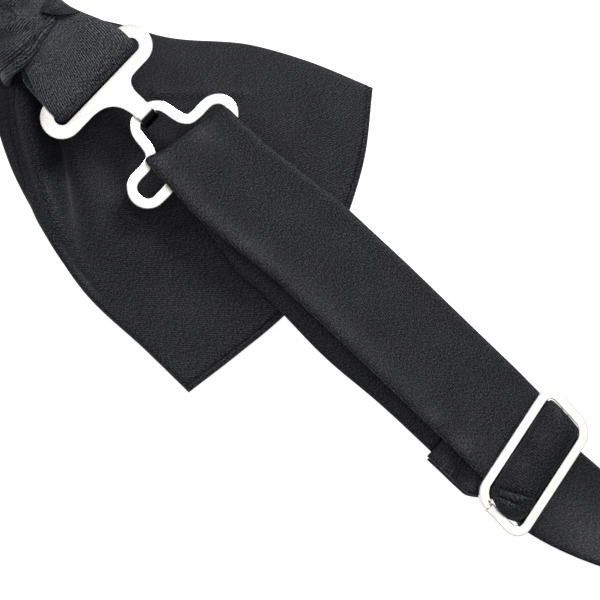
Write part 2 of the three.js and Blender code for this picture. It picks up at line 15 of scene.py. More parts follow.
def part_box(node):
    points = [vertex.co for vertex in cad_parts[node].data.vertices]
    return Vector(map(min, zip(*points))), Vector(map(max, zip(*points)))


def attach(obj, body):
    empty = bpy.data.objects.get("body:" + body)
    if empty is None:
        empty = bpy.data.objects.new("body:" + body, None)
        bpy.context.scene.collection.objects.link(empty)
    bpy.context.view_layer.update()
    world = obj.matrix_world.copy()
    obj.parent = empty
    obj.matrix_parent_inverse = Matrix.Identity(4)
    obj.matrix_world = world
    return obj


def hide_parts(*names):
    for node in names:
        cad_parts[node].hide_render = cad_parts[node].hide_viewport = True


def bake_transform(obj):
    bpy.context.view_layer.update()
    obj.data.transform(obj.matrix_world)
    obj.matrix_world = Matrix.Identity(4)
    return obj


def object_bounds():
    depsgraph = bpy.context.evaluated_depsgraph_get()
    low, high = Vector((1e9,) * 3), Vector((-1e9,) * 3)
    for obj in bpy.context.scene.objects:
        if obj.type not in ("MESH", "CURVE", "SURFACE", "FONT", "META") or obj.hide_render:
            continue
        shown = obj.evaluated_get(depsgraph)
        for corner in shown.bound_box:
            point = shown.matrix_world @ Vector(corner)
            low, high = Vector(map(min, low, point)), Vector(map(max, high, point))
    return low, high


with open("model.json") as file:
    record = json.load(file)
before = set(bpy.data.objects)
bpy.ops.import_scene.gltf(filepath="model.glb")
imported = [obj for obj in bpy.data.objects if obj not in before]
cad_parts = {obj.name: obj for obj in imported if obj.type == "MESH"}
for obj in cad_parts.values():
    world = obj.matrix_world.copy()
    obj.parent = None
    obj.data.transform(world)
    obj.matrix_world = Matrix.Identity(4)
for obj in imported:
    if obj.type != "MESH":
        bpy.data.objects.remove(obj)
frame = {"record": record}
cad_low, cad_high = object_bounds()

MM = 0.001


def corners(node):
    """A node's lowest and highest corners, in millimetres."""
    low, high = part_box(node)
    return np.array(low) / MM, np.array(high) / MM


# ---- Sizes taken from the frame ----

BAND_WIDTH = 16.0
PLY = 1.1  # a doubled strap's thickness
WRAP_LOW, WRAP_HIGH = corners("knot_wrap")
HOOK_LOW, HOOK_HIGH = corners("hook_clip")
EYE_LOW, EYE_HIGH = corners("eye_clip")
SLIDER_LOW, SLIDER_HIGH = corners("slider_frame")
BLADE_HIGH = corners("rear_blade_right")[1]
LOOP_HIGH = corners("front_loop_right")[1]

HOOK_THICK = 1.0
HOOK_Z = HOOK_HIGH[2] - HOOK_THICK / 2
HOOK_Y = (HOOK_LOW[1] + HOOK_HIGH[1]) / 2 - 0.55
HOOK_BAR = 2.25
STRAP_RISE = 1.35  # of each ply of the hook strap from the hook's middle plane
HOOK_ROUND = 3.45  # outer radius of the ring's ends
HOOK_FRONT = HOOK_LOW[0] + 7.9
HOOK_X = HOOK_FRONT - HOOK_ROUND
HOOK_STEM_HALF = 1.48
EYE_THICK = 1.2
EYE_BAR = 1.75
EYE_Z = (EYE_LOW[2] + EYE_HIGH[2]) / 2
EYE_Y = (EYE_LOW[1] + EYE_HIGH[1]) / 2
EYE_REAR_X = EYE_HIGH[0] - EYE_BAR / 2  # where the strap lies on the eye's rear bar
SLIDE_AXIS = next(j["axis"] for j in frame["record"]["behaviour"]["joints"] if j["type"] == "slide")
STRAP_SLOPE = math.atan2(-SLIDE_AXIS[2], SLIDE_AXIS[0])
SLIDER_TURN = math.radians(9.5)
SLIDER_MIDDLE = (SLIDER_LOW + SLIDER_HIGH) / 2
SLIDER_BAR = 1.6
SLIDER_THICK = 1.5
SLIDER_LENGTH = 22.0
SLIDER_WIDTH = 10.8
SLIDER_CORNER = 3.0
SLIDER_SHEAR = 0.24  # the bent wire is a little out of square


# ---- Shapes ----


def smooth(value):
    """Eases from 0 to 1 as the value goes from 0 to 1."""
    t = np.clip(value, 0, 1)
    return t * t * (3 - 2 * t)


def hill(distance, width):
    """A soft bump, 1 high where the distance is 0."""
    return np.exp(-((distance / width) ** 2))


def through(points):
    """A smooth curve through points, as a function of the share of its length."""
    points = np.array(points, float)
    steps = np.linalg.norm(np.diff(points, axis=0), axis=1)
    knots = np.concatenate([[0], np.cumsum(steps)]) / steps.sum()
    slopes = np.gradient(points, knots, axis=0)

    def at(share):
        t = np.clip(np.asarray(share, float), 0, 1)
        i = np.clip(np.searchsorted(knots, t, side="right") - 1, 0, len(knots) - 2)
        span = knots[i + 1] - knots[i]
        s = ((t - knots[i]) / span)[..., None]
        span = span[..., None]
        start = (1 + 2 * s) * (1 - s) ** 2 * points[i] + s * (1 - s) ** 2 * span * slopes[i]
        return start + s * s * (3 - 2 * s) * points[i + 1] + s * s * (s - 1) * span * slopes[i + 1]

    return at


def path_length(curve, steps=400):
    line = curve(np.linspace(0, 1, steps))
    return float(np.linalg.norm(np.diff(line, axis=0), axis=1).sum())


def stack(*parts):
    return np.stack(np.broadcast_arrays(*parts), axis=-1)


def first_two(points):
    """The first two coordinates of an array of points."""
    return points[..., 0], points[..., 1]


def unit(vectors):
    return vectors / np.maximum(np.linalg.norm(vectors, axis=-1, keepdims=True), 1e-9)


def placed(name, data):
    """An object of the given data, in the scene."""
    made = bpy.data.objects.new(name, data)
    bpy.context.scene.collection.objects.link(made)
    return made


def finished(name, points, faces, uvs=None):
    """A smooth-shaded object from points in millimetres, with a UV pair for each face corner."""
    mesh = bpy.data.meshes.new(name)
    mesh.from_pydata((np.asarray(points) * MM).tolist(), [], [list(f) for f in faces])
    if uvs is not None:
        layer = mesh.uv_layers.new(name="weave")
        layer.data.foreach_set("uv", np.asarray(uvs, np.float32).ravel())
    mesh.polygons.foreach_set("use_smooth", [True] * len(mesh.polygons))
    mesh.update()
    return placed(name, mesh)


RIM_STEPS = 4


def spread(count, rim):
    """Steps from 0 to 1, crowded at both ends where a rounded rim of that share turns over."""
    edge = rim * (1 - np.cos(np.linspace(0, math.pi / 2, RIM_STEPS + 1)[:-1]))
    return np.concatenate([edge, np.linspace(rim, 1 - rim, count), 1 - edge[::-1]])


def cloth(name, surface, length, width, thick, counts, roll=0.0, loop=False):
    """A closed piece of cloth about the middle surface(u, v), u from 0 to 1 along it and v from -1
    to 1 across, with rims that roll over within the given width. A loop joins its two ends."""
    roll = roll or thick / 2
    across = 2 * spread(counts[1], roll / width) - 1
    along = np.linspace(0, 1, counts[0] + 1)[:-1] if loop else spread(counts[0], roll / length)
    u, v = np.meshgrid(along, across, indexing="ij")
    middle = surface(u, v)
    if loop:
        step_u = np.roll(middle, -1, 0) - np.roll(middle, 1, 0)
    else:
        step_u = np.gradient(middle, axis=0)
    out = unit(np.cross(step_u, np.gradient(middle, axis=1)))

    def rim(distance):
        return np.sqrt(np.clip(1 - (1 - np.clip(distance / roll, 0, 1)) ** 2, 0, 1))

    half = thick / 2 * rim((1 - np.abs(v)) * width / 2)
    if not loop:
        half = half * rim(np.minimum(u, 1 - u) * length)
    rows, columns = u.shape
    inner = np.ones((rows, columns), bool)
    inner[:, [0, -1]] = False
    if not loop:
        inner[[0, -1], :] = False
    front = np.arange(rows * columns).reshape(rows, columns)
    back = front.copy()
    back[inner] = rows * columns + np.arange(inner.sum())
    raised = out * half[..., None]
    points = np.concatenate([(middle + raised).reshape(-1, 3), (middle - raised)[inner]])
    i, j = np.meshgrid(np.arange(rows if loop else rows - 1), np.arange(columns - 1), indexing="ij")
    i, j = i.ravel(), j.ravel()
    ring_i = np.stack([i, i + 1, i + 1, i], 1)
    ring_j = np.stack([j, j, j + 1, j + 1], 1)
    u_edges = np.append(along, 1.0)
    uv = np.stack([u_edges[ring_i] * length, across[ring_j] * width / 2], -1)
    faces = np.concatenate([
        front[ring_i % rows, ring_j],
        back[ring_i % rows, ring_j][:, ::-1],
    ])
    return finished(name, points, faces, np.concatenate([uv, uv[:, ::-1]]))


def ring_faces(rings, size, closed=False):
    """Faces round a row of rings of points, with capped ends unless the row is closed."""
    faces = []
    for r in range(rings if closed else rings - 1):
        s = (r + 1) % rings
        for k in range(size):
            m = (k + 1) % size
            faces.append((r * size + k, r * size + m, s * size + m, s * size + k))
    if not closed:
        faces.append(tuple(range(size - 1, -1, -1)))
        faces.append(tuple(range((rings - 1) * size, rings * size)))
    return faces


def bar(name, line, width, thick, closed, bevel, normal=(0.0, 0.0, 1.0)):
    """A metal bar of rounded rectangular section along points that lie in a plane."""
    line = np.asarray(line, float)
    if closed:
        ahead = np.roll(line, -1, 0) - np.roll(line, 1, 0)
    else:
        ahead = np.gradient(line, axis=0)
    ahead = unit(ahead)
    side = unit(np.cross(np.array(normal), ahead))
    up = np.cross(ahead, side)
    turn = np.linspace(0, math.pi / 2, 3)
    section = []
    for start, (sx, sy) in enumerate([(1, 1), (-1, 1), (-1, -1), (1, -1)]):
        for angle in turn + start * math.pi / 2:
            x = sx * (width / 2 - bevel) + bevel * math.cos(angle)
            y = sy * (thick / 2 - bevel) + bevel * math.sin(angle)
            section.append((x, y))
    section = np.array(section)
    rings = line[:, None] + side[:, None] * section[None, :, :1] + up[:, None] * section[None, :, 1:]
    faces = ring_faces(*rings.shape[:2], closed)
    return finished(name, rings.reshape(-1, 3), [f[::-1] for f in faces])


def arc(middle, radius, start, stop, steps):
    """Points of an arc in plan, between two angles in degrees."""
    angles = np.radians(np.linspace(start, stop, steps))
    return np.stack([middle[0] + radius * np.cos(angles), middle[1] + radius * np.sin(angles)], 1)


def baked(source):
    """A plain mesh of an object as its curve or modifiers make it."""
    return bpy.data.meshes.new_from_object(source.evaluated_get(bpy.context.evaluated_depsgraph_get()))


def plate(name, outlines, thick, middle, bevel=0.12):
    """A flat plate with rounded edges, from closed plan outlines: the rim first, then openings."""
    curve = bpy.data.curves.new(name, "CURVE")
    curve.dimensions = "2D"
    curve.fill_mode = "BOTH"
    curve.extrude = (thick / 2 - bevel) * MM
    curve.bevel_depth = bevel * MM
    curve.bevel_resolution = 3
    curve.offset = -bevel * MM
    for outline in outlines:
        spline = curve.splines.new("POLY")
        spline.points.add(len(outline) - 1)
        for point, (x, y) in zip(spline.points, outline):
            point.co = (x * MM, y * MM, 0, 1)
        spline.use_cyclic_u = True
    source = placed(name, curve)
    mesh = baked(source)
    bpy.data.objects.remove(source)
    bpy.data.curves.remove(curve)
    mesh.name = name
    mesh.transform(Matrix.Translation((0, 0, middle * MM)))
    return placed(name, mesh)


def joined(name, pieces):
    """One object of several, whose solids may run into each other."""
    whole = bmesh.new()
    for piece in pieces:
        whole.from_mesh(piece.data)
        bpy.data.objects.remove(piece)
    bmesh.ops.remove_doubles(whole, verts=whole.verts, dist=1e-6)
    bmesh.ops.recalc_face_normals(whole, faces=whole.faces)
    mesh = bpy.data.meshes.new(name)
    whole.to_mesh(mesh)
    whole.free()
    mesh.polygons.foreach_set("use_smooth", [True] * len(mesh.polygons))
    return placed(name, mesh)


# ---- Materials ----


class Value:
    """A shader socket in an expression: each operator adds the Math node that it stands for."""

    def __init__(self, finish, socket):
        self.finish = finish
        self.socket = socket

    def math(self, operation, *others):
        return self.finish.node("ShaderNodeMath", {"operation": operation}, [self, *others])

    def __add__(self, other):
        return self.math("ADD", other)

    def __sub__(self, other):
        return self.math("SUBTRACT", other)

    def __rsub__(self, other):
        return self.finish.node("ShaderNodeMath", {"operation": "SUBTRACT"}, [other, self])

    def __mul__(self, other):
        return self.math("MULTIPLY", other)

    __radd__ = __add__
    __rmul__ = __mul__

    def clamped(self):
        return self.finish.node("ShaderNodeClamp", {}, [self, 0.0, 1.0])


class Finish:
    """A material with one Principled surface, whose nodes all come from node()."""

    def __init__(self, name):
        self.material = bpy.data.materials.new(name)
        self.material.use_nodes = True
        self.tree = self.material.node_tree
        self.surface = self.tree.nodes["Principled BSDF"]

    def node(self, kind, settings, inputs, output=0):
        made = self.tree.nodes.new(kind)
        for key, value in settings.items():
            setattr(made, key, value)
        pairs = inputs.items() if isinstance(inputs, dict) else enumerate(inputs)
        for key, value in pairs:
            self.feed(made.inputs[key], value)
        return Value(self, made.outputs[output])

    def feed(self, socket, value):
        if isinstance(value, Value):
            self.tree.links.new(value.socket, socket)
        else:
            socket.default_value = value

    def set(self, **values):
        for key, value in values.items():
            self.feed(self.surface.inputs[key.replace("_", " ")], value)

    def place(self, source="UV"):
        return self.node("ShaderNodeTexCoord", {}, {}, source)

    def noise(self, place, scale, detail=2.0, roughness=0.5):
        inputs = {"Vector": place, "Scale": scale, "Detail": detail, "Roughness": roughness}
        return self.node("ShaderNodeTexNoise", {}, inputs, "Fac")

    def mix(self, share, low, high):
        """From one colour, or a colour worked out by nodes, to another."""
        settings = {"data_type": "RGBA", "blend_type": "MIX"}
        low = low if isinstance(low, Value) else (*low, 1)
        return self.node("ShaderNodeMix", settings, {0: share, 6: low, 7: (*high, 1)}, 2)

    def turned(self, place, degrees, scale):
        inputs = {"Vector": place, "Rotation": (0, 0, math.radians(degrees)), "Scale": scale}
        return self.node("ShaderNodeMapping", {}, inputs)

    def wave(self, place, pitch, degrees):
        """From 0 to 1 and back over each pitch, measured along the given direction."""
        lean = math.radians(degrees)
        turns = 2 * math.pi / pitch
        direction = (math.cos(lean) * turns, math.sin(lean) * turns, 0)
        phase = self.node("ShaderNodeVectorMath", {"operation": "DOT_PRODUCT"}, [place, direction], 1)
        return phase.math("SINE") * 0.5 + 0.5

    def relief(self, height, depth, strength):
        inputs = {"Strength": strength, "Distance": depth * MM, "Height": height}
        self.set(Normal=self.node("ShaderNodeBump", {}, inputs))


RIB_PITCH = 0.33
SATIN_DARK = (0.0022, 0.0024, 0.0034)
SATIN_LIGHT = (0.1, 0.102, 0.116)
GRAIN_CONTRAST = 4.8
CLIP_TINT = (0.98, 0.965, 0.93)
SLIDER_TINT = (0.98, 0.96, 0.935)
# colour painted on the hook tongue's fold: a painted reflection of the dark satin below it
PAINTED_REFLECTION_DARK = (0.05, 0.05, 0.05)
FELT_SHADE, FELT_LIGHT = (0.42, 0.4, 0.35), (0.8, 0.78, 0.71)
YARN_SHADE, YARN_LIGHT = (0.003, 0.003, 0.004), (0.05, 0.05, 0.056)


def satin(name, rib_angle, lift=1.0, rib_depth=0.35):
    """Black satin: fine twill ribs at an angle to the cloth's length, with a speckled grain.

    lift scales its colour as painted light and shade, lighter for a piece the lamps light more, and rib_depth
    how plainly its ribs show."""
    finish = Finish(name)
    place = finish.place()
    ribs = finish.wave(place, RIB_PITCH, rib_angle + 90)
    picks = finish.wave(place, RIB_PITCH * 0.9, rib_angle + 38)
    threads = finish.turned(place, -rib_angle, (2.6, 6.4, 1))
    grain = finish.noise(threads, 1.15, 3.0, 0.7)
    cloud = finish.noise(place, 0.16, 2.0)
    tone = (ribs - 0.5) * rib_depth + picks * 0.1 + (grain - 0.5) * GRAIN_CONTRAST
    tone = (tone + (cloud - 0.5) * 0.3 + 0.1).clamped()
    # lift paints light or shade into the colour: each piece's copy is lighter or darker for how it is lit
    finish.set(Base_Color=finish.mix(tone, SATIN_DARK, tuple(c * lift for c in SATIN_LIGHT)))
    finish.set(Roughness=0.6 - tone * 0.2, Specular_IOR_Level=0.16)
    finish.relief(ribs * (0.2 + rib_depth) + grain * 0.8, 0.04, 0.3)
    return finish.material


def nickel(name, tint, face, normal=(0.0, 0.0, 1.0), painted_dark_from=None):
    """Bright plate with a faint tumbled grain and painted shade on its sides, below the face that lies at a
    given level along a normal. Past a given X it is painted dark, as a painted reflection of the black satin
    under the hook's tongue."""
    finish = Finish(name)
    place = finish.place("Object")
    grain = finish.noise(place, 2600.0, 2.0)
    marks = finish.noise(place, 420.0, 4.0, 0.65)
    cloud = finish.noise(place, 90.0, 2.0)
    wear = ((marks - 0.5) * 1.6 + (cloud - 0.5) * 0.8 + 0.4).clamped()
    color = finish.mix(wear, tint, tuple(0.93 * c for c in tint))
    level = finish.node("ShaderNodeVectorMath", {"operation": "DOT_PRODUCT"}, [place, normal], 1)
    # painted shade: the sides below the top face are mixed down to half the tint
    side = ((face - level * 1000.0 - 0.1) * 5.0).clamped()
    color = finish.mix(side, color, tuple(0.5 * c for c in tint))
    # painted reflection: past the given X the tongue's fold is darkened as if it mirrors the black satin
    # below
    if painted_dark_from:
        x = finish.node("ShaderNodeSeparateXYZ", {}, [place]) * 1000.0
        painted_dark = ((x - painted_dark_from) * 3.0).clamped()
        color = finish.mix(painted_dark, color, PAINTED_REFLECTION_DARK)
    finish.set(Base_Color=color, Metallic=1.0)
    finish.set(Roughness=0.22 + wear * 0.12 + (grain - 0.5) * 0.1)
    finish.relief(grain * 0.5 + marks, 0.02, 0.12)
    return finish.material


def felt(name):
    """Pale interlining: matted fibres."""
    finish = Finish(name)
    place = finish.place()
    fibres = finish.noise(finish.turned(place, 35, (0.9, 3.6, 1)), 1.6, 4.0, 0.7)
    cross = finish.noise(finish.turned(place, -50, (0.9, 3.2, 1)), 1.4, 3.0, 0.7)
    tone = (fibres * 0.7 + cross * 0.6 - 0.15).clamped()
    finish.set(Base_Color=finish.mix(tone, FELT_SHADE, FELT_LIGHT), Roughness=0.95)
    finish.relief(fibres + cross, 0.15, 0.7)
    return finish.material


def yarn(name):
    """Black sewing thread, twisted."""
    finish = Finish(name)
    place = finish.place("Object")
    twist = finish.wave(place, 0.00022, 35)
    fuzz = finish.noise(place, 5200.0, 2.0)
    tone = (twist * 0.7 + (fuzz - 0.5) * 0.9 + 0.1).clamped()
    finish.set(Base_Color=finish.mix(tone, YARN_SHADE, YARN_LIGHT))
    finish.set(Roughness=0.8 - tone * 0.15)
    finish.relief(twist + fuzz * 0.4, 0.04, 0.6)
    return finish.material


# Lit and shaded copies of one satin: each lift is painted light or shade for how the lamps fall on that piece
BAND_SATIN = satin("band_satin", rib_angle=9, lift=0.62)
FOLD_SATIN = satin("strap_satin", rib_angle=8, lift=0.82)
HOOK_SATIN = satin("hook_strap_satin", rib_angle=-15, lift=1.6, rib_depth=0.6)
WING_SATIN = satin("wing_satin", rib_angle=43, lift=0.7)
KNOT_SATIN = satin("knot_satin", rib_angle=4, lift=1.35, rib_depth=0.55)
EYE_NICKEL = nickel("eye_nickel", CLIP_TINT, EYE_Z + EYE_THICK / 2)
HOOK_NICKEL = nickel("hook_nickel", CLIP_TINT, HOOK_Z + HOOK_THICK / 2, painted_dark_from=HOOK_FRONT + 5.7)
SLOPE_NORMAL = (math.sin(STRAP_SLOPE), 0.0, math.cos(STRAP_SLOPE))
SLIDER_FACE = float(np.dot(SLIDER_MIDDLE, SLOPE_NORMAL)) + SLIDER_THICK / 2
SLIDER_NICKEL = nickel("slider_nickel", SLIDER_TINT, SLIDER_FACE, SLOPE_NORMAL)
LINING_FELT = felt("lining_felt")
SEWING_YARN = yarn("sewing_yarn")


def dressed(piece, material, body="bow", replaces=()):
    """Gives a finished piece its material, its body and the nodes it stands for."""
    piece.data.materials.clear()
    piece.data.materials.append(material)
    if body:  # a piece that blends between two bodies rides on none
        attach(piece, body)
    if replaces:
        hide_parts(*replaces)


# ---- Camera, light and floor ----

FLOOR_REACH = 3.0
VIEW_MIDDLE = Vector((66.0, -2.3, 17.0)) * MM
VIEW_DISTANCE = 330 * MM
VIEW_WIDTH = 95.2 * MM
VIEW_LEAN = math.radians(5)  # from straight down, towards -Y
VIEW_UP = Vector((-0.68, 0.73, 0.0))


def make_camera():
    """A camera over the clips, far enough back that near and far parts look alike in size."""
    data = bpy.data.cameras.new("camera")
    data.sensor_width = 36.0
    data.lens = data.sensor_width * VIEW_DISTANCE / VIEW_WIDTH
    data.clip_start = 0.01
    camera = placed("camera", data)
    back = Vector((0, -math.sin(VIEW_LEAN), math.cos(VIEW_LEAN)))
    up = (VIEW_UP - back * VIEW_UP.dot(back)).normalized()
    right = up.cross(back)
    turn = Matrix((right, up, back)).transposed().to_4x4()
    camera.matrix_world = Matrix.Translation(VIEW_MIDDLE + back * VIEW_DISTANCE) @ turn
    bpy.context.scene.camera = camera


def make_lamp(name, place, size, power):
    """A square softbox that faces the middle of the view."""
    data = bpy.data.lights.new(name, "AREA")
    data.size = size
    data.energy = power
    lamp = placed(name, data)
    lamp.location = place
    lamp.rotation_mode = "QUATERNION"
    lamp.rotation_quaternion = (Vector(place) - VIEW_MIDDLE).to_track_quat("Z", "Y")


def make_studio():
    """A pale table under even light, with soft shadows from three softboxes."""
    scene = bpy.context.scene
    scene.view_settings.view_transform = "Standard"
    world = bpy.data.worlds.new("studio")
    world.use_nodes = True
    sky = world.node_tree.nodes["Background"].inputs
    sky["Color"].default_value = (0.96, 0.98, 1.0, 1)
    sky["Strength"].default_value = 0.15
    scene.world = world
    make_lamp("overhead_softbox", (0.16, 0.03, 1.15), 1.05, 3.75)
    make_lamp("main_softbox", (-0.1, 0.85, 0.75), 0.4, 10.5)
    make_lamp("knot_side_softbox", (-0.75, -0.1, 0.7), 0.4, 2.5)
    mesh = bpy.data.meshes.new("floor")
    ends = [(x * FLOOR_REACH, y * FLOOR_REACH, cad_low.z) for x, y in ((-1, -1), (1, -1), (1, 1), (-1, 1))]
    mesh.from_pydata(ends, [], [(0, 1, 2, 3)])
    floor = placed("floor", mesh)
    finish = Finish("pale_table")
    grain = finish.noise(finish.place("Object"), 60.0, 3.0)
    finish.set(Base_Color=finish.mix(grain, (0.86, 0.86, 0.86), (0.9, 0.9, 0.9)), Roughness=0.8)
    finish.set(Emission_Color=(1, 1, 1, 1), Emission_Strength=0.8)
    mesh.materials.append(finish.material)


# ---- Knot ----

KNOT_Y = -1.3
KNOT_HALF = 7.6
KNOT_SQUARE = 3.4  # how square the wrap's section is
WRAP_THICK = 1.1


def wrap_section(turn, inset):
    """A point (y, z) of the wrap's section at a share of a turn, starting on the -Y side."""
    angle = math.pi - turn * 2 * math.pi
    power = 2 / KNOT_SQUARE
    c, s = np.cos(angle), np.sin(angle)
    half_height = (WRAP_HIGH[2] - WRAP_LOW[2]) / 2 - inset
    y = KNOT_Y + (KNOT_HALF - inset) * np.sign(c) * np.abs(c) ** power
    z = (WRAP_HIGH[2] + WRAP_LOW[2]) / 2 + half_height * np.sign(s) * np.abs(s) ** power
    return y, z


def knot_wrap():
    """The satin wound round the middle: crumpled, with a rolled hem along each edge."""

    def surface(u, v):
        y, z = wrap_section(u, WRAP_THICK / 2 + 0.35)
        top = smooth((z - 15) / 5)
        reach = WRAP_HIGH[0] - 0.4 + 0.9 * hill(y + 4, 3) * top - 1.1 * hill(y - 5, 2.4) * top
        x = v * reach
        inset = (1 - np.abs(v)) * reach
        hem = hill(inset - 0.8, 0.6) - 0.8 * hill(inset - 1.9, 0.32)
        hem = hem * (1 + 0.25 * np.sin(3.1 * y + 0.8 * np.sin(1.7 * y)))
        folds = 0.4 * np.sin(0.62 * (x + 0.8 * y) + 1.2 * np.sin(0.5 * y)) * (1 - v**4)
        folds += 0.28 * np.sin(1.25 * x - 0.9 * y + 0.7 * z) * (1 - v**4)
        dimple = -0.8 * hill(x - 6.6, 1.4) * hill(y - 1.6, 1.7) * top
        swell = 0.5 * hem + folds + dimple
        middle_z = (WRAP_HIGH[2] + WRAP_LOW[2]) / 2
        grow_y = (y - KNOT_Y) / KNOT_HALF
        grow_z = (z - middle_z) / middle_z
        size = np.sqrt(grow_y**2 + grow_z**2)
        low = smooth((z - 1.5) / 2)
        return stack(x, y + swell * grow_y / size, z + swell * low * grow_z / size)

    around = 70.0
    piece = cloth("knot_wrap_satin", surface, around, 18.0, WRAP_THICK, (150, 60), roll=0.55, loop=True)
    dressed(piece, KNOT_SATIN, replaces=["knot_wrap"])


def knot_flap():
    """The wrap's free end, folded to a point and tucked over the strap."""
    left = through([(2.8, 5.2), (4.4, 5.3), (6.2, 5.75), (7.8, 6.3), (9.6, 7.1)])
    right = through([(3.2, 1.9), (4.8, 2.2), (6.5, 3.1), (8.0, 4.5), (9.4, 6.5)])

    def surface(u, v):
        share = ((v + 1) / 2)[..., None]
        plan = right(u) * (1 - share) + left(u) * share
        x, y = first_two(plan)
        sunk = 2.0 * smooth((6.5 - x) / 2.0) + 0.5 * smooth(-v) * (1 - smooth((x - 6.5) / 2))
        z = WRAP_HIGH[2] + 0.2 - 1.5 * smooth((x - 6.0) / 4.0) - sunk
        return stack(x, y, z - 0.5 * smooth((y - 4.4) / 2.5))

    piece = cloth("knot_flap_satin", surface, 11.0, 5.0, 0.9, (46, 22), roll=0.45)
    dressed(piece, KNOT_SATIN)


def waist_core():
    """The bow's middle, drawn together into pleats."""
    low, high = corners("waist_core")
    pleats = 7

    def surface(u, v):
        angle = math.pi - u * 2 * math.pi
        squeeze = 1 - 0.12 * hill(v, 0.5)
        ridge = 0.35 * np.abs(np.sin(pleats * angle))
        y = KNOT_Y + (6.0 + ridge) * squeeze * np.cos(angle)
        z = (low[2] + high[2]) / 2 + ((high[2] - low[2]) / 2 - 0.8 + ridge) * squeeze * np.sin(angle)
        return stack(v * (high[0] - 0.3), y, z)

    piece = cloth("waist_core_satin", surface, 36.0, 15.0, 1.2, (112, 24), loop=True)
    dressed(piece, KNOT_SATIN, replaces=["waist_core"])


def binding_thread():
    """Thread wound round the gathered waist: a helix of close turns."""
    low, high = corners("waist_core")
    turns, steps = 9, 36
    half_width = 2.6  # of the wound thread, along the bow
    angles = np.linspace(0, 2 * math.pi * turns, turns * steps)
    x = np.linspace(-half_width, half_width, angles.size)
    y = KNOT_Y + 6.3 * np.cos(angles)
    z = (low[2] + high[2]) / 2 + ((high[2] - low[2]) / 2 - 0.3) * np.sin(angles)
    line = np.stack([x, y, z], 1)
    ahead = unit(np.gradient(line, axis=0))
    side = unit(np.cross(ahead, np.array([1.0, 0, 0])))
    up = np.cross(ahead, side)
    section = np.radians(np.arange(0, 360, 45))
    radius = 0.27
    rings = line[:, None] + radius * (
        side[:, None] * np.cos(section)[None, :, None] + up[:, None] * np.sin(section)[None, :, None]
    )
    piece = finished("binding_yarn", rings.reshape(-1, 3), ring_faces(*rings.shape[:2]))
    dressed(piece, SEWING_YARN, replaces=["binding_thread"])


# ---- Wings ----

BLADE_LOWER = through([
    (5.2, -9.4), (7.8, -12.0), (10.9, -14.4), (16.3, -17.5), (26.6, -21.3), (39.6, -24.6), (53.8, -24.7),
    (63.1, -24.9)])
BLADE_UPPER = through([(6.6, 6.2), (13.5, 10.8), (20.6, 14.7), (31.8, 23.6), (39.3, 27.5), (51.0, 32.0)])
BLADE_END = through([
    (63.1, -24.9), (64.7, -15.0), (65.9, -5.0), (65.5, 5.4), (62.0, 14.4), (58.2, 22.0), (51.0, 32.0)])
BLADE_THICK = 1.7
BLADE_MIDDLE_Z = BLADE_HIGH[2] - 1.25
PLEAT_STEP = [(8, -2.5), (12, -5.6), (16.5, -8.9), (22.8, -12.9), (28.9, -16.6), (36, -20.4), (46, -23)]
MARGIN_GROOVE = [(9, -7), (11.5, -10.2), (14.8, -12.9), (21.5, -16.6), (28, -20.2), (36.1, -22.7), (50, -24)]
SEAM_INSET = 1.0
PLEAT_RISE = 2.0
HOLLOW_DEPTH = 2.3
CREASE = ((26.0, 6.6), (36.5, 16.6))


def beside(line, x, y):
    """How far a point lies to the +Y side of a line given by plan points."""
    xs, ys = np.array(line, float).T
    return (y - np.interp(x, xs, ys)) * 0.86


def from_segment(a, b, x, y):
    """Distance from a plan segment, and how far to the side of its line."""
    ax, ay = a
    dx, dy = b[0] - ax, b[1] - ay
    share = np.clip(((x - ax) * dx + (y - ay) * dy) / (dx * dx + dy * dy), 0, 1)
    away = np.hypot(x - ax - share * dx, y - ay - share * dy)
    side = ((y - ay) * dx - (x - ax) * dy) / math.hypot(dx, dy)
    return away, side


def blade_plan(u, v):
    """A place in the blade's plan, between its lower, upper, end and root edges."""
    share = (v + 1) / 2
    low, high, end = BLADE_LOWER(u), BLADE_UPPER(u), BLADE_END(share)
    root = BLADE_LOWER(0) * (1 - share[..., None]) + BLADE_UPPER(0) * share[..., None]
    s, t = u[..., None], share[..., None]
    corners = (1 - t) * (1 - s) * BLADE_LOWER(0) + t * (1 - s) * BLADE_UPPER(0)
    corners = corners + (1 - t) * s * BLADE_LOWER(1) + t * s * BLADE_UPPER(1)
    return (1 - t) * low + t * high + (1 - s) * root + s * end - corners


def blade_height(u, v, x, y):
    """The blade's relief: the pleat along its lower margin, the hollow beside it, and its crease."""
    z = BLADE_MIDDLE_Z - 0.7 * v * v * smooth(2 * u)
    step = beside(PLEAT_STEP, x, y)
    fade = 1 - smooth((x - 24) / 22)
    z = z + PLEAT_RISE * hill(step + 2.9, 1.9) * fade
    z = z - HOLLOW_DEPTH * hill(step - 1.5, 2.1) * hill(x - 20, 9.0)
    # two fine lines pressed along the pleat
    groove = beside(MARGIN_GROOVE, x, y)
    z = z - 0.5 * hill(groove, 0.75) * (1 - smooth((x - 34) / 14))
    z = z - 0.3 * hill(groove + 1.6, 0.6) * (1 - smooth((x - 20) / 14))
    # a low swell past the pleat's end, and a dip beside the strap
    z = z + 1.1 * hill(x - 36, 9.0) * hill(y + 14.0, 6.0)
    z = z - 0.7 * hill(x - 40, 9.0) * hill(y + 5.5, 4.5)
    # the crease that runs out from under the hook, lower on its far side
    away, side = from_segment(*CREASE, x, y)
    z = z + 0.2 * hill(away, 0.75) - 0.1 * np.maximum(side, 0) * hill(x - 34, 16)
    # the gathers at the root, which die out along the blade
    pleats = np.sin(7.5 * v + 0.6) * 0.55 + np.sin(15 * v + 2.0) * 0.25
    return z + pleats * np.exp(-u * 7.5) * smooth(u * 14)


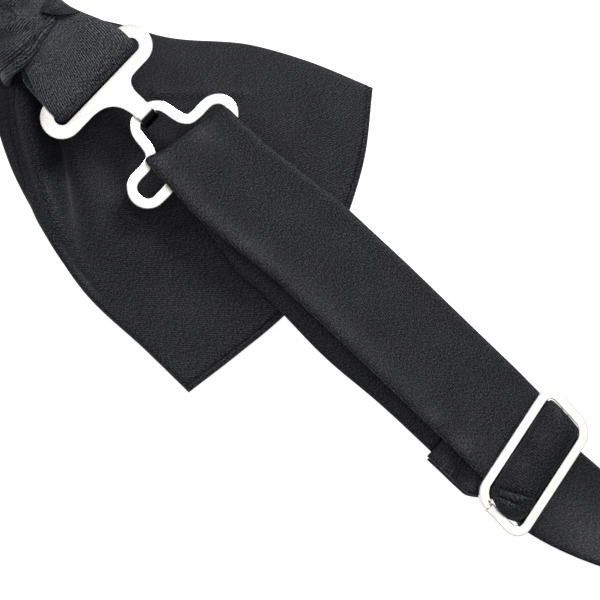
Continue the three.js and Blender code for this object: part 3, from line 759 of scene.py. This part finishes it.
def rear_blade(side, turn):
    """A wing behind the strap: a flat pocket of satin with a pressed seam along its end."""
    length, width = 58.0, 50.0

    def surface(u, v):
        plan = blade_plan(u, v)
        x, y = first_two(plan)
        z = blade_height(u, v, x, y)
        seam = hill((1 - u) * length - SEAM_INSET, 0.22)
        z = z - 0.3 * seam
        return stack(x * turn, y * turn, z)

    piece = cloth(f"rear_blade_{side}_satin", surface, length, width, BLADE_THICK, (190, 150), roll=0.8)
    dressed(piece, WING_SATIN, replaces=[f"rear_blade_{side}"])


def blade_lining(side, turn):
    """The felt inside the blade, a margin smaller all round, showing only at its open root."""

    def surface(u, v):
        u, v = 0.02 + u * 0.93, v * 0.92
        plan = blade_plan(u, v)
        x, y = first_two(plan)
        return stack(x * turn, y * turn, blade_height(u, v, x, y))

    piece = cloth(f"blade_lining_{side}_felt", surface, 54.0, 46.0, 0.6, (60, 50))
    dressed(piece, LINING_FELT, replaces=[f"blade_lining_{side}"])


LOOP_LOW = 0.9
LOOP_TOP = LOOP_HIGH[2] - 1.0
LOOP_SIDE = through([
    (7.8, 3.6), (12.0, 2.6), (18.0, 1.2), (30.0, LOOP_LOW), (46.0, LOOP_LOW), (50.6, 2.2),
    (LOOP_HIGH[0] - 0.7, 3.9), (50.6, 5.6), (46.0, LOOP_TOP), (30.0, LOOP_TOP), (18.0, 6.6), (12.0, 6.0),
    (7.8, 5.4),
])


def front_loop(side, turn):
    """A front loop: out flat on the table, round at its end and back to the knot."""
    length = path_length(LOOP_SIDE)

    def surface(u, v):
        x, z = first_two(LOOP_SIDE(u))
        out = np.clip((x - 8) / (LOOP_HIGH[0] - 8), 0, 1)
        half = 5.6 + (23 - 5.6) * np.sin(out * math.pi / 2) ** 0.9
        upper = smooth(u * 6 - 2.5)
        pleats = (0.5 * np.sin(8 * v + 1) + 0.22 * np.sin(17 * v)) * np.exp(-out * 6) * smooth(out * 12)
        bow = 0.35 * (1 - v * v) * hill(out - 0.6, 0.35) * (2 * upper - 1) * smooth(4 * (1 - out) + 0.1)
        x = x - 2.6 * v * v * smooth(out * 2 - 1)
        z = np.maximum(z + pleats + bow * upper, 0.72)
        return stack(x * turn, (v * half + 1.2 * out) * turn, z)

    piece = cloth(f"front_loop_{side}_satin", surface, length, 40.0, 1.3, (170, 90), roll=0.65)
    dressed(piece, WING_SATIN, replaces=[f"front_loop_{side}"])


# ---- Straps ----


def side_strap(name, path, middle_y, half_width, thick, counts, relief, roll=0.9):
    """A strap whose side view is path, and its length. relief gives how far each place leans along
    the strap, rises, and lifts off the path."""
    length = path_length(path)

    def surface(u, v):
        x, z = first_two(path(u))
        y = middle_y(u, x) + v * half_width(u, x)
        ahead = unit(path(np.clip(u + 0.002, 0, 1)) - path(np.clip(u - 0.002, 0, 1)))
        lean, rise, lift = relief(u, v, x)
        return stack(x + lean - ahead[..., 1] * lift, y, z + rise + ahead[..., 0] * lift)

    return cloth(name, surface, length, BAND_WIDTH, thick, counts, roll=roll), length


def hook_strap():
    """The short strap: out of the knot, round the hook's rear bar and back under it."""
    top, low = HOOK_Z + STRAP_RISE, HOOK_Z - STRAP_RISE
    fold = HOOK_FRONT - 3.15
    path = through([
        (-0.3, top), (5, top), (10, top + 0.1), (14, top + 0.15), (fold - 1.9, top + 0.15),
        (fold - 0.6, HOOK_Z + 1.05), (fold, HOOK_Z), (fold - 0.6, HOOK_Z - 0.95), (fold - 1.9, low),
        (12, low), (-4.5, low),
    ])

    def middle_y(u, x):
        return 0.8 - 1.3 * smooth((u - 0.55) / 0.15) * smooth((x - 7) / 4)

    def half_width(u, x):
        return 5.7 + 2.95 * smooth((x - 6) / 11)

    def relief(u, v, x):
        upper = 1 - smooth((u - 0.42) / 0.1)
        gather = 0.16 * np.sin(3.6 * v + 0.3 * x) * np.exp(-np.maximum(x - 8, 0) / 4)
        edges = 0.3 * hill(np.abs(v) - 1, 0.12) * upper
        return 0.0, 0.0, 0.22 * (1 - v * v) * upper + gather - edges

    piece, length = side_strap("hook_strap_satin", path, middle_y, half_width, PLY, (130, 46), relief)
    dressed(piece, HOOK_SATIN, replaces=["hook_strap"])


def slider_point(along, across, out, turn=SLIDER_TURN):
    """A place in the slider's own axes: along the strap, across it, and out of the back."""
    c, s = np.cos(turn), np.sin(turn)
    x, y = along * c - across * s, along * s + across * c
    cs, ss = math.cos(STRAP_SLOPE), math.sin(STRAP_SLOPE)
    return stack(
        SLIDER_MIDDLE[0] + x * cs + out * ss,
        SLIDER_MIDDLE[1] + y,
        SLIDER_MIDDLE[2] - x * ss + out * cs,
    )


UNDER_BAR = SLIDER_BAR / 2 + 0.3 + PLY / 2
EYE_FOLD_X = EYE_LOW[0] + 8.0
FOLD_SKEW = math.tan(math.radians(13.4))


def strap_line_y(x):
    """The strap's middle line in plan."""
    return np.interp(x, [33, 37, 45, 52, 60, 75, 110], [4.7, 4.35, 4.1, 4.7, 5.5, 5.7, 5.6])


def strap_top_z(x):
    """The middle of the strap's upper run, which goes down towards the slider."""
    return EYE_Z + 1.45 - np.tan(STRAP_SLOPE) * (x - EYE_REAR_X)


def strap_half_width(x):
    return 7.75 + 0.5 * smooth((x - 36) / 14)


def adjusting_loop():
    """The band's loop: from the slider to the eye, round its rear bar, and back below to the tail."""
    start_x = SLIDER_MIDDLE[0] - 3.2
    end_x = SLIDER_MIDDLE[0] - 12.6
    fold = EYE_FOLD_X
    top = strap_top_z
    path = through([
        (start_x, top(start_x) - 0.15), *((x, top(x)) for x in (98, 84, 70, 56, 45)),
        (EYE_REAR_X, EYE_Z + 1.5), (fold + 1.6, EYE_Z + 1.4), (fold + 0.6, EYE_Z + 1.1),
        (fold + 0.3, EYE_Z + 0.4), (fold + 1.6, EYE_Z - 0.7), (EYE_REAR_X, EYE_Z - 1.45),
        (46, top(46) - 2.8), (60, top(60) - 2.8), (80, top(80) - 2.75), (end_x, top(end_x) - 2.7),
    ])
    upper_share = (start_x - fold) / (start_x - fold + end_x - fold)

    def is_lower(u):
        return smooth((u - upper_share + 0.012) / 0.03)

    def middle_y(u, x):
        near_slider = (SLIDER_MIDDLE[1] + 0.9 - strap_line_y(x)) * smooth((x - 98) / 9)
        below = (-2.9 - 0.8 * hill(x - 75, 9)) * smooth((x - 44) / 14)
        return strap_line_y(x) + near_slider * (1 - is_lower(u)) + below * is_lower(u)

    def half_width(u, x):
        return strap_half_width(x) - 0.35 * is_lower(u)

    def relief(u, v, x):
        upper = 1 - is_lower(u)
        near_fold = np.exp(-np.maximum(x - fold - 1.5, 0) / 7)
        skewed = np.exp(-np.maximum(x - fold, 0) / 12) * (1 - 0.75 * is_lower(u))
        lean = FOLD_SKEW * v * 7.6 * skewed
        gather = 0.012 * np.sin(v * 44) * near_fold
        over_bar = 1 - smooth((v + 0.1) / 0.7)  # the fold's -Y part lies over the eye's front bar
        rise = 0.95 * upper * near_fold + 1.9 * (1 - upper) * (1 - smooth((x - fold - 1) / 2.4))
        crown = 0.28 * (1 - v**4) - 0.75 * hill(v + 1, 0.3)
        waves = 0.1 * np.sin(0.21 * x + 1.1 * v + 0.5) * (1 - near_fold)
        crumple = 0.3 * hill(v + 1, 0.3) * np.sin(0.9 * x + 0.6) * smooth((x - 88) / 8)
        lean = lean - math.tan(SLIDER_TURN) * v * 8 * smooth((x - 99) / 7) * upper
        return lean, rise * over_bar, gather + (crown + waves + crumple) * upper

    piece, length = side_strap(
        "adjusting_loop_satin", path, middle_y, half_width, PLY, (420, 72), relief, roll=1.1)
    dressed(piece, FOLD_SATIN, None, ["adjusting_loop"])
    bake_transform(piece)


# ---- Clips ----


def round_ends(middle_x, middle_y, half_length, radius, steps=26):
    """The two round ends of an outline whose straight sides lie along Y."""
    top = arc((middle_x, middle_y + half_length - radius), radius, 0, 180, steps)
    bottom = arc((middle_x, middle_y - half_length + radius), radius, 180, 360, steps)
    return [top, bottom]


def hook_clip():
    """The hook: a slotted ring with a flared stem whose end folds down and back as a tongue."""
    half = (HOOK_HIGH[1] - HOOK_LOW[1]) / 2 - 0.5
    front = HOOK_FRONT
    fold_radius = 1.6
    tip = HOOK_HIGH[0] - 0.7 - fold_radius
    middle = HOOK_Y + 1.6  # the stem leans to the +Y side
    flare_low = through([
        (front, middle - 5.9), (front + 0.22, middle - 4.6), (front + 0.6, middle - 3.6),
        (front + 1.35, middle - 2.64), (front + 2.4, middle - 1.97), (front + 3.9, middle - 1.6),
        (tip, middle - HOOK_STEM_HALF)])
    flare_high = through([
        (tip, middle + HOOK_STEM_HALF), (front + 3.4, middle + HOOK_STEM_HALF), (front + 1.85, middle + 1.54),
        (front + 0.85, middle + 1.9), (front + 0.18, middle + 2.7), (front, middle + 3.9)])
    shares = np.linspace(0, 1, 40)
    ends = round_ends(HOOK_X, HOOK_Y, half, HOOK_ROUND)
    rim = np.concatenate([flare_low(shares), flare_high(shares), *ends])
    slot = np.concatenate(round_ends(HOOK_X, HOOK_Y, half - HOOK_BAR, HOOK_ROUND - HOOK_BAR))
    ring = plate("ring", [rim, slot], HOOK_THICK, HOOK_Z)
    fold = arc((tip, HOOK_Z - fold_radius), fold_radius, 90, -90, 18)
    back = np.linspace(tip, tip - 4.4, 8)[1:]
    returned = stack(back, HOOK_Z - 2 * fold_radius)
    tongue_line = through(np.concatenate([[[tip - 0.6, HOOK_Z]], fold, returned]))

    def surface(u, v):
        line = tongue_line(u)
        end = smooth((u - 0.82) / 0.18)
        return stack(line[..., 0], middle + v * (HOOK_STEM_HALF - 0.5 * end * end), line[..., 1])

    reach, width = path_length(tongue_line), 2 * HOOK_STEM_HALF
    tongue = cloth("tongue", surface, reach, width, HOOK_THICK, (50, 12), roll=0.2)
    piece = joined("hook_clip_nickel", [ring, tongue])
    dressed(piece, HOOK_NICKEL, "hook", ["hook_clip"])
    smooth_by_angle(piece)


def smooth_by_angle(piece, degrees=12):
    """Marks the edges between flat faces sharp, so that they shade flat."""
    piece.data.set_sharp_from_angle(angle=math.radians(degrees))


def eye_clip():
    """The eye: one flat bar bent to an open head, a waist and a long slot for the strap.

    Half of its line is laid out from the head round to the rear bar, and mirrored."""
    head = EYE_LOW[0]
    front_x = head + 6.95
    rear_x = head + 11.9
    reach = 10.6
    radius = (rear_x - front_x) / 2
    half = [
        (head + 0.65, 0.0), (head + 0.8, 1.6), (head + 1.8, 2.75), (head + 3.2, 3.2), (head + 4.4, 3.35),
        (head + 5.7, 3.7), (head + 6.6, 4.45), (head + 6.9, 5.7)]
    turn = arc((front_x + radius, reach - radius), radius, 180, 0, 18)
    upper = through([*half, *map(tuple, turn), (rear_x, 4.0), (rear_x, 0.0)])
    line = upper(np.linspace(0, 1, 150))
    mirror = (line * [1, -1])[::-1][1:-1]
    plan = np.concatenate([line, mirror])
    level = np.full((len(plan), 1), EYE_Z)
    plan[:, 1] += EYE_Y + 0.2
    piece = bar("eye_clip_nickel", np.concatenate([plan, level], 1), EYE_BAR, EYE_THICK, True, 0.14)
    dressed(piece, EYE_NICKEL, "eye", ["eye_clip"])
    smooth_by_angle(piece)


# ---- Slider and what it carries ----


def slider_frame():
    """The slider: one bar bent round to a frame with a split in its short end, and a middle bar."""
    half_long = (SLIDER_LENGTH - SLIDER_BAR) / 2 + 0.15
    half_wide = (SLIDER_WIDTH - SLIDER_BAR) / 2 + 0.05
    radius = SLIDER_CORNER - SLIDER_BAR / 2 + 0.2
    split = -SLIDER_BAR / 2 - (SLIDER_WIDTH - 3 * SLIDER_BAR) / 4
    start = np.array([[split + 0.25, -half_long - 0.12], [split + 1.4, -half_long]])
    bends = [
        arc((half_wide - radius, -half_long + radius), radius, -90, 0, 14),
        arc((half_wide - radius, half_long - radius), radius, 0, 90, 14),
        arc((-half_wide + radius, half_long - radius), radius, 90, 180, 14),
        arc((-half_wide + radius, -half_long + radius), radius, 180, 262, 14),
    ]
    end = np.array([[split - 0.2, -half_long + 0.14]])
    plan = np.concatenate([start, *bends, end])
    plan[:, 1] -= SLIDER_SHEAR * plan[:, 0]
    plan[:, 0] += 0.25
    round_line = slider_point(plan[:, 0], plan[:, 1], 0.0)
    frame_bar = bar("frame_bar", round_line, SLIDER_BAR, SLIDER_THICK, False, 0.12, SLOPE_NORMAL)
    middle = slider_point(np.zeros(8), np.linspace(-half_long, half_long, 8), 0.0)
    middle_bar = bar("middle_bar", middle, SLIDER_BAR, 1.3, False, 0.3, SLOPE_NORMAL)
    piece = joined("slider_nickel", [frame_bar, middle_bar])
    dressed(piece, SLIDER_NICKEL, "slider", ["slider_frame"])
    smooth_by_angle(piece)


def slider_hump():
    """The band where it rises through the frame, lies over the middle bar and dives again."""
    path = through([
        (-3.1, -2.0), (-3.05, -0.2), (-2.6, 1.3), (-1.3, 2.1), (0.1, 2.3), (1.7, 2.1), (3.0, 1.3), (3.4, 0.0),
        (3.55, -0.9), (4.2, -1.6), (5.6, -UNDER_BAR - 0.15)])
    length = path_length(path)

    def surface(u, v):
        along, out = first_two(path(u))
        inside = smooth((out + 0.6) / 1.4)
        low_side = -8.7 - 1.1 * inside * (1 - 0.1 * along**2)
        across = (8.5 + 0.8 * inside) * (1 + v) / 2 + low_side * (1 - v) / 2 - SLIDER_SHEAR * along
        puff = 0.25 * (1 - v * v) - 0.5 * hill(np.abs(v) - 1, 0.14)
        creases = 0.12 * np.sin(1.1 * across + 0.9 * along)
        creases = creases - 0.42 * hill(across + 5.8 - 0.35 * along, 0.5)
        creases = creases - 0.34 * hill(across + 7.4 - 0.2 * along, 0.4)
        out = out + (puff + creases) * smooth((out + 0.5) / 1.5)
        return slider_point(along + 0.06 * np.sin(0.8 * across) * hill(out - 0.5, 1.5), across, out)

    piece = cloth("slider_hump_satin", surface, length, 16.5, PLY, (70, 80), roll=1.0)
    dressed(piece, BAND_SATIN, "slider", ["slider_hump"])


def sewn_tail():
    """The band's end: round the middle bar and back below the strap, where it is sewn down."""
    upper = -UNDER_BAR - 1.35
    lower = upper - 1.3
    path = through([
        (-12.6, upper), (-8, upper), (-4.4, upper + 0.1), (-2.2, upper + 1.0), (-1.75, -0.2), (-1.2, 1.1),
        (0, 1.65), (1.2, 1.1), (1.75, -0.2), (1.6, -2.2), (0.2, lower + 0.8), (-3.4, lower + 0.1),
        (-8, lower), (-11.3, lower)])
    length = path_length(path)

    def surface(u, v):
        along, out = first_two(path(u))
        below = smooth((0.5 - out) / 1.5)
        returned = smooth((u - 0.55) / 0.12)
        away = smooth((-along - 0.6) / 3.4)
        across = v * (7.9 + 0.2 * below) - 2.7 * away - 0.35 * returned * away
        ripple = 0.22 * hill(v + 1, 0.35) * np.sin(1.2 * along) * below
        corner_out = -0.7 * hill(v + 1, 0.15) * smooth((u - 0.9) / 0.1)
        turn = SLIDER_TURN * (1 - away)
        return slider_point(along + corner_out, across, out + ripple, turn)

    piece = cloth("sewn_tail_satin", surface, length, BAND_WIDTH, PLY, (130, 50), roll=0.7)
    dressed(piece, BAND_SATIN, "slider", ["sewn_tail"])


# ---- Neck band ----

ROUNDNESS = 0.5523  # of a curve with four control points that follows a quarter circle
RING_EDGE_Z = 8.2
RING_LIFT = 13.0
BAND_START = slider_point(4.9, -1.9, -UNDER_BAR - 0.2)
TWIST_BOX = corners("band_twist")
NECK_BOX = corners("neck_band")
RIGHTMOST = np.array([TWIST_BOX[1][0] - 0.5, 28.0])
FURTHEST = np.array([75.0, NECK_BOX[1][1] - 0.5])
LEFTMOST = np.array([NECK_BOX[0][0] + 0.5, 24.0])
KNOT_END = np.array([-11.0, 0.2])


def quarter(start, leave, stop, arrive):
    """A quarter turn in plan, leaving along one direction and arriving along another."""
    start, leave, stop, arrive = (np.array(p, float) for p in (start, leave, stop, arrive))
    span = np.abs(stop - start)
    reach_a = ROUNDNESS * (np.abs(leave) * span).sum()
    reach_b = ROUNDNESS * (np.abs(arrive) * span).sum()
    a, b = start + leave * reach_a, stop - arrive * reach_b

    def at(t):
        t = np.asarray(t, float)[..., None]
        return (1 - t) ** 3 * start + 3 * t * (1 - t) ** 2 * a + 3 * t * t * (1 - t) * b + t**3 * stop

    return at


def ring_surface(curve, height, turned, half_width, first_lean=0.0):
    """Band cloth along a plan curve; turned() says how far it has turned onto its edge."""

    def surface(u, v):
        t = np.asarray(u, float)
        plan = curve(t)
        step = 1e-3
        ahead = unit(curve(np.clip(t + step, 0, 1)) - curve(np.clip(t - step, 0, 1)))
        turn = turned(t) * math.pi / 2
        level = stack(-ahead[..., 1], ahead[..., 0], 0 * t)
        slope = first_lean * (1 - smooth(t * 4))
        across = level * np.cos(turn)[..., None] - np.array([0, 0, 1.0]) * np.sin(turn)[..., None]
        out = np.cross(stack(ahead[..., 0], ahead[..., 1], -slope), across)
        crown = 0.2 * (1 - v**4) + 0.12 * np.sin(5 * math.pi * t + 1.3 * v)
        at = stack(plan[..., 0], plan[..., 1], height(t))
        return at + across * (v * half_width(t))[..., None] + out * crown[..., None]

    return surface


def band_twist():
    """From under the slider's far bar the band turns onto its edge."""
    start = BAND_START[:2]
    heading = (math.cos(SLIDER_TURN - 0.06), math.sin(SLIDER_TURN - 0.06))
    curve = quarter(start, heading, RIGHTMOST, (0, 1))
    length = path_length(curve)
    surface = ring_surface(
        curve,
        lambda t: BAND_START[2] + (RING_EDGE_Z - BAND_START[2]) * smooth(t),
        lambda t: t**0.75,
        lambda t: 7.95 + 0 * t,
        first_lean=math.tan(STRAP_SLOPE),
    )
    piece = cloth("band_twist_satin", surface, length, BAND_WIDTH, PLY, (120, 40), roll=0.9)
    dressed(piece, BAND_SATIN, None, ["band_twist"])
    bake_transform(piece)


def neck_band():
    """The rest of the band: round the back on its edge, onto the left wing, flat into the knot."""
    turns = [
        quarter(RIGHTMOST, (0, 1), FURTHEST, (-1, 0)),
        quarter(FURTHEST, (-1, 0), LEFTMOST, (0, -1)),
        quarter(LEFTMOST, (0, -1), KNOT_END, (1, 0)),
    ]
    lengths = np.array([path_length(t) for t in turns] + [10.4])
    marks = np.concatenate([[0], np.cumsum(lengths)]) / lengths.sum()
    last = np.array([-0.6, KNOT_END[1]])

    def curve(t):
        t = np.asarray(t, float)
        shares = [np.clip((t - marks[i]) / (marks[i + 1] - marks[i]), 0, 1) for i in range(4)]
        plan = turns[0](shares[0])
        for i in (1, 2):
            plan = np.where((t > marks[i])[..., None], turns[i](shares[i]), plan)
        straight = KNOT_END + (last - KNOT_END) * shares[3][..., None]
        return np.where((t > marks[3])[..., None], straight, plan)

    knot_z = HOOK_Z + STRAP_RISE

    def height(t):
        lift = RING_EDGE_Z + RING_LIFT * smooth((t - marks[1]) / (marks[2] - marks[1]))
        return lift + (knot_z - RING_EDGE_Z - RING_LIFT) * smooth((t - marks[2]) / (marks[3] - marks[2]))

    surface = ring_surface(
        curve,
        height,
        lambda t: 1 - smooth((t - marks[2]) / (marks[3] - marks[2])),
        lambda t: 7.95 - 2.3 * smooth((t - marks[3] + 0.03) / 0.03),
    )
    length = float(lengths.sum())
    piece = cloth("neck_band_satin", surface, length, BAND_WIDTH, PLY, (520, 36), roll=0.9)
    dressed(piece, BAND_SATIN, replaces=["neck_band"])


# ---- Stitches ----

TAIL_ROWS = (-11.2, -9.6)  # places along the strap, from the slider's middle
TAIL_ROW_ENDS = (-8.6, 3.6)
ROW_POINTS = 30
BLADE_ROWS = (-0.965, 0.965)  # as shares of the blade's half width


def stitch_tree():
    """Geometry nodes that set a stitch at each step along a line of points."""
    tree = bpy.data.node_groups.new("stitch_row", "GeometryNodeTree")
    face = tree.interface
    face.new_socket("Geometry", in_out="OUTPUT", socket_type="NodeSocketGeometry")
    face.new_socket("Geometry", in_out="INPUT", socket_type="NodeSocketGeometry")
    for label in ("Stitch length", "Gap", "Thread width"):
        face.new_socket(label, in_out="INPUT", socket_type="NodeSocketFloat")
    face.new_socket("Material", in_out="INPUT", socket_type="NodeSocketMaterial")

    def add(kind, settings=None, *values, **named):
        """A node's outputs, given its settings and its inputs, in order or by name."""
        node = tree.nodes.new(kind)
        for key, value in (settings or {}).items():
            setattr(node, key, value)
        by_name = ((key.replace("_", " "), value) for key, value in named.items())
        for key, value in (*enumerate(values), *by_name):
            if isinstance(value, bpy.types.NodeSocket):
                tree.links.new(value, node.inputs[key])
            else:
                node.inputs[key].default_value = value
        return node.outputs

    def maths(operation, *values):
        return add("ShaderNodeMath", {"operation": operation}, *values)[0]

    given = add("NodeGroupInput")
    pace = maths("ADD", given["Stitch length"], given["Gap"])
    line = add("GeometryNodeMeshToCurve", Mesh=given["Geometry"])[0]
    steps = add("GeometryNodeResampleCurve", {"mode": "LENGTH"}, Curve=line, Length=pace)[0]
    half = maths("MULTIPLY", given["Thread width"], 0.5)
    sizes = {"Vertices": 8, "Side_Segments": 4, "Radius": half, "Depth": given["Stitch length"]}
    body = add("GeometryNodeMeshCylinder", **sizes)["Mesh"]
    place = add("GeometryNodeInputPosition")[0]
    height = add("ShaderNodeSeparateXYZ", Vector=place)["Z"]
    share = maths("DIVIDE", height, given["Stitch length"])
    taper = maths("MULTIPLY_ADD", maths("MULTIPLY", share, share), -2.6, 1.0)
    thin = add("ShaderNodeCombineXYZ", X=taper, Y=taper, Z=1.0)[0]
    shaped = add("ShaderNodeVectorMath", {"operation": "MULTIPLY"}, place, thin)[0]
    stitch = add("GeometryNodeSetPosition", Geometry=body, Position=shaped)[0]
    tangent = add("GeometryNodeInputTangent")[0]
    aim = add("FunctionNodeAlignRotationToVector", {"axis": "Z"}, Vector=tangent)[0]
    points = add("GeometryNodeInstanceOnPoints", Points=steps, Instance=stitch, Rotation=aim)[0]
    real = add("GeometryNodeRealizeInstances", Geometry=points)[0]
    paint = add("GeometryNodeSetMaterial", Geometry=real, Material=given["Material"])[0]
    add("NodeGroupOutput", None, paint)
    return tree


def stitch_row(name, lines, tree, body, length=1.6, gap=0.7, width=0.3, replaces=()):
    """Sewn rows along lists of points, baked to one mesh."""
    points = np.concatenate(lines)
    edges = []
    first = 0
    for line in lines:
        edges += [(first + k, first + k + 1) for k in range(len(line) - 1)]
        first += len(line)
    mesh = bpy.data.meshes.new(name + "_line")
    mesh.from_pydata((points * MM).tolist(), edges, [])
    source = placed(name + "_line", mesh)
    modifier = source.modifiers.new("stitches", "NODES")
    modifier.node_group = tree
    sockets = {s.name: s.identifier for s in tree.interface.items_tree if s.in_out == "INPUT"}
    modifier[sockets["Stitch length"]] = length * MM
    modifier[sockets["Gap"]] = gap * MM
    modifier[sockets["Thread width"]] = width * MM
    modifier[sockets["Material"]] = SEWING_YARN
    made = baked(source)
    source.modifiers.remove(modifier)
    bpy.data.objects.remove(source)
    made.name = name
    dressed(placed(name, made), SEWING_YARN, body, replaces)


def all_stitches():
    """The tail's two rows, the tack under the wrap, and the seam along each wing's margins."""
    tree = stitch_tree()
    shares = np.linspace(0, 1, 60)
    tail_rows = []
    for along in TAIL_ROWS:
        across = np.linspace(*TAIL_ROW_ENDS, ROW_POINTS)
        tail_rows.append(slider_point(np.full(ROW_POINTS, along), across, -UNDER_BAR - 0.6))
    stitch_row("tail_tack_yarn", tail_rows, tree, "slider", replaces=["tail_tack"])
    low, high = corners("band_tack")
    tack_rows = []
    for x in (low[0] + 0.4, high[0] - 0.4):
        row_y = np.linspace(low[1] + 0.2, high[1] - 0.2, ROW_POINTS)
        tack_rows.append(stack(x, row_y, (low[2] + high[2]) / 2))
    stitch_row("band_tack_yarn", tack_rows, tree, "bow", replaces=["band_tack"])
    for side, turn in (("right", 1), ("left", -1)):
        rows = []
        for v in BLADE_ROWS:
            u = 0.25 + 0.72 * shares
            plan = blade_plan(u, np.full_like(u, v))
            z = blade_height(u, np.full_like(u, v), plan[:, 0], plan[:, 1]) - BLADE_THICK / 2 + 0.1
            rows.append(np.stack([plan[:, 0] * turn, plan[:, 1] * turn, z], 1))
        stitch_row(f"blade_seam_{side}_yarn", rows, tree, "bow", length=1.2, gap=0.9, width=0.22)


# ---- Assembly ----

make_camera()
make_studio()
knot_wrap()
knot_flap()
waist_core()
binding_thread()
for side, turn in (("right", 1), ("left", -1)):
    rear_blade(side, turn)
    blade_lining(side, turn)
    front_loop(side, turn)
hook_strap()
adjusting_loop()
hook_clip()
eye_clip()
slider_frame()
slider_hump()
sewn_tail()
band_twist()
neck_band()
all_stitches()
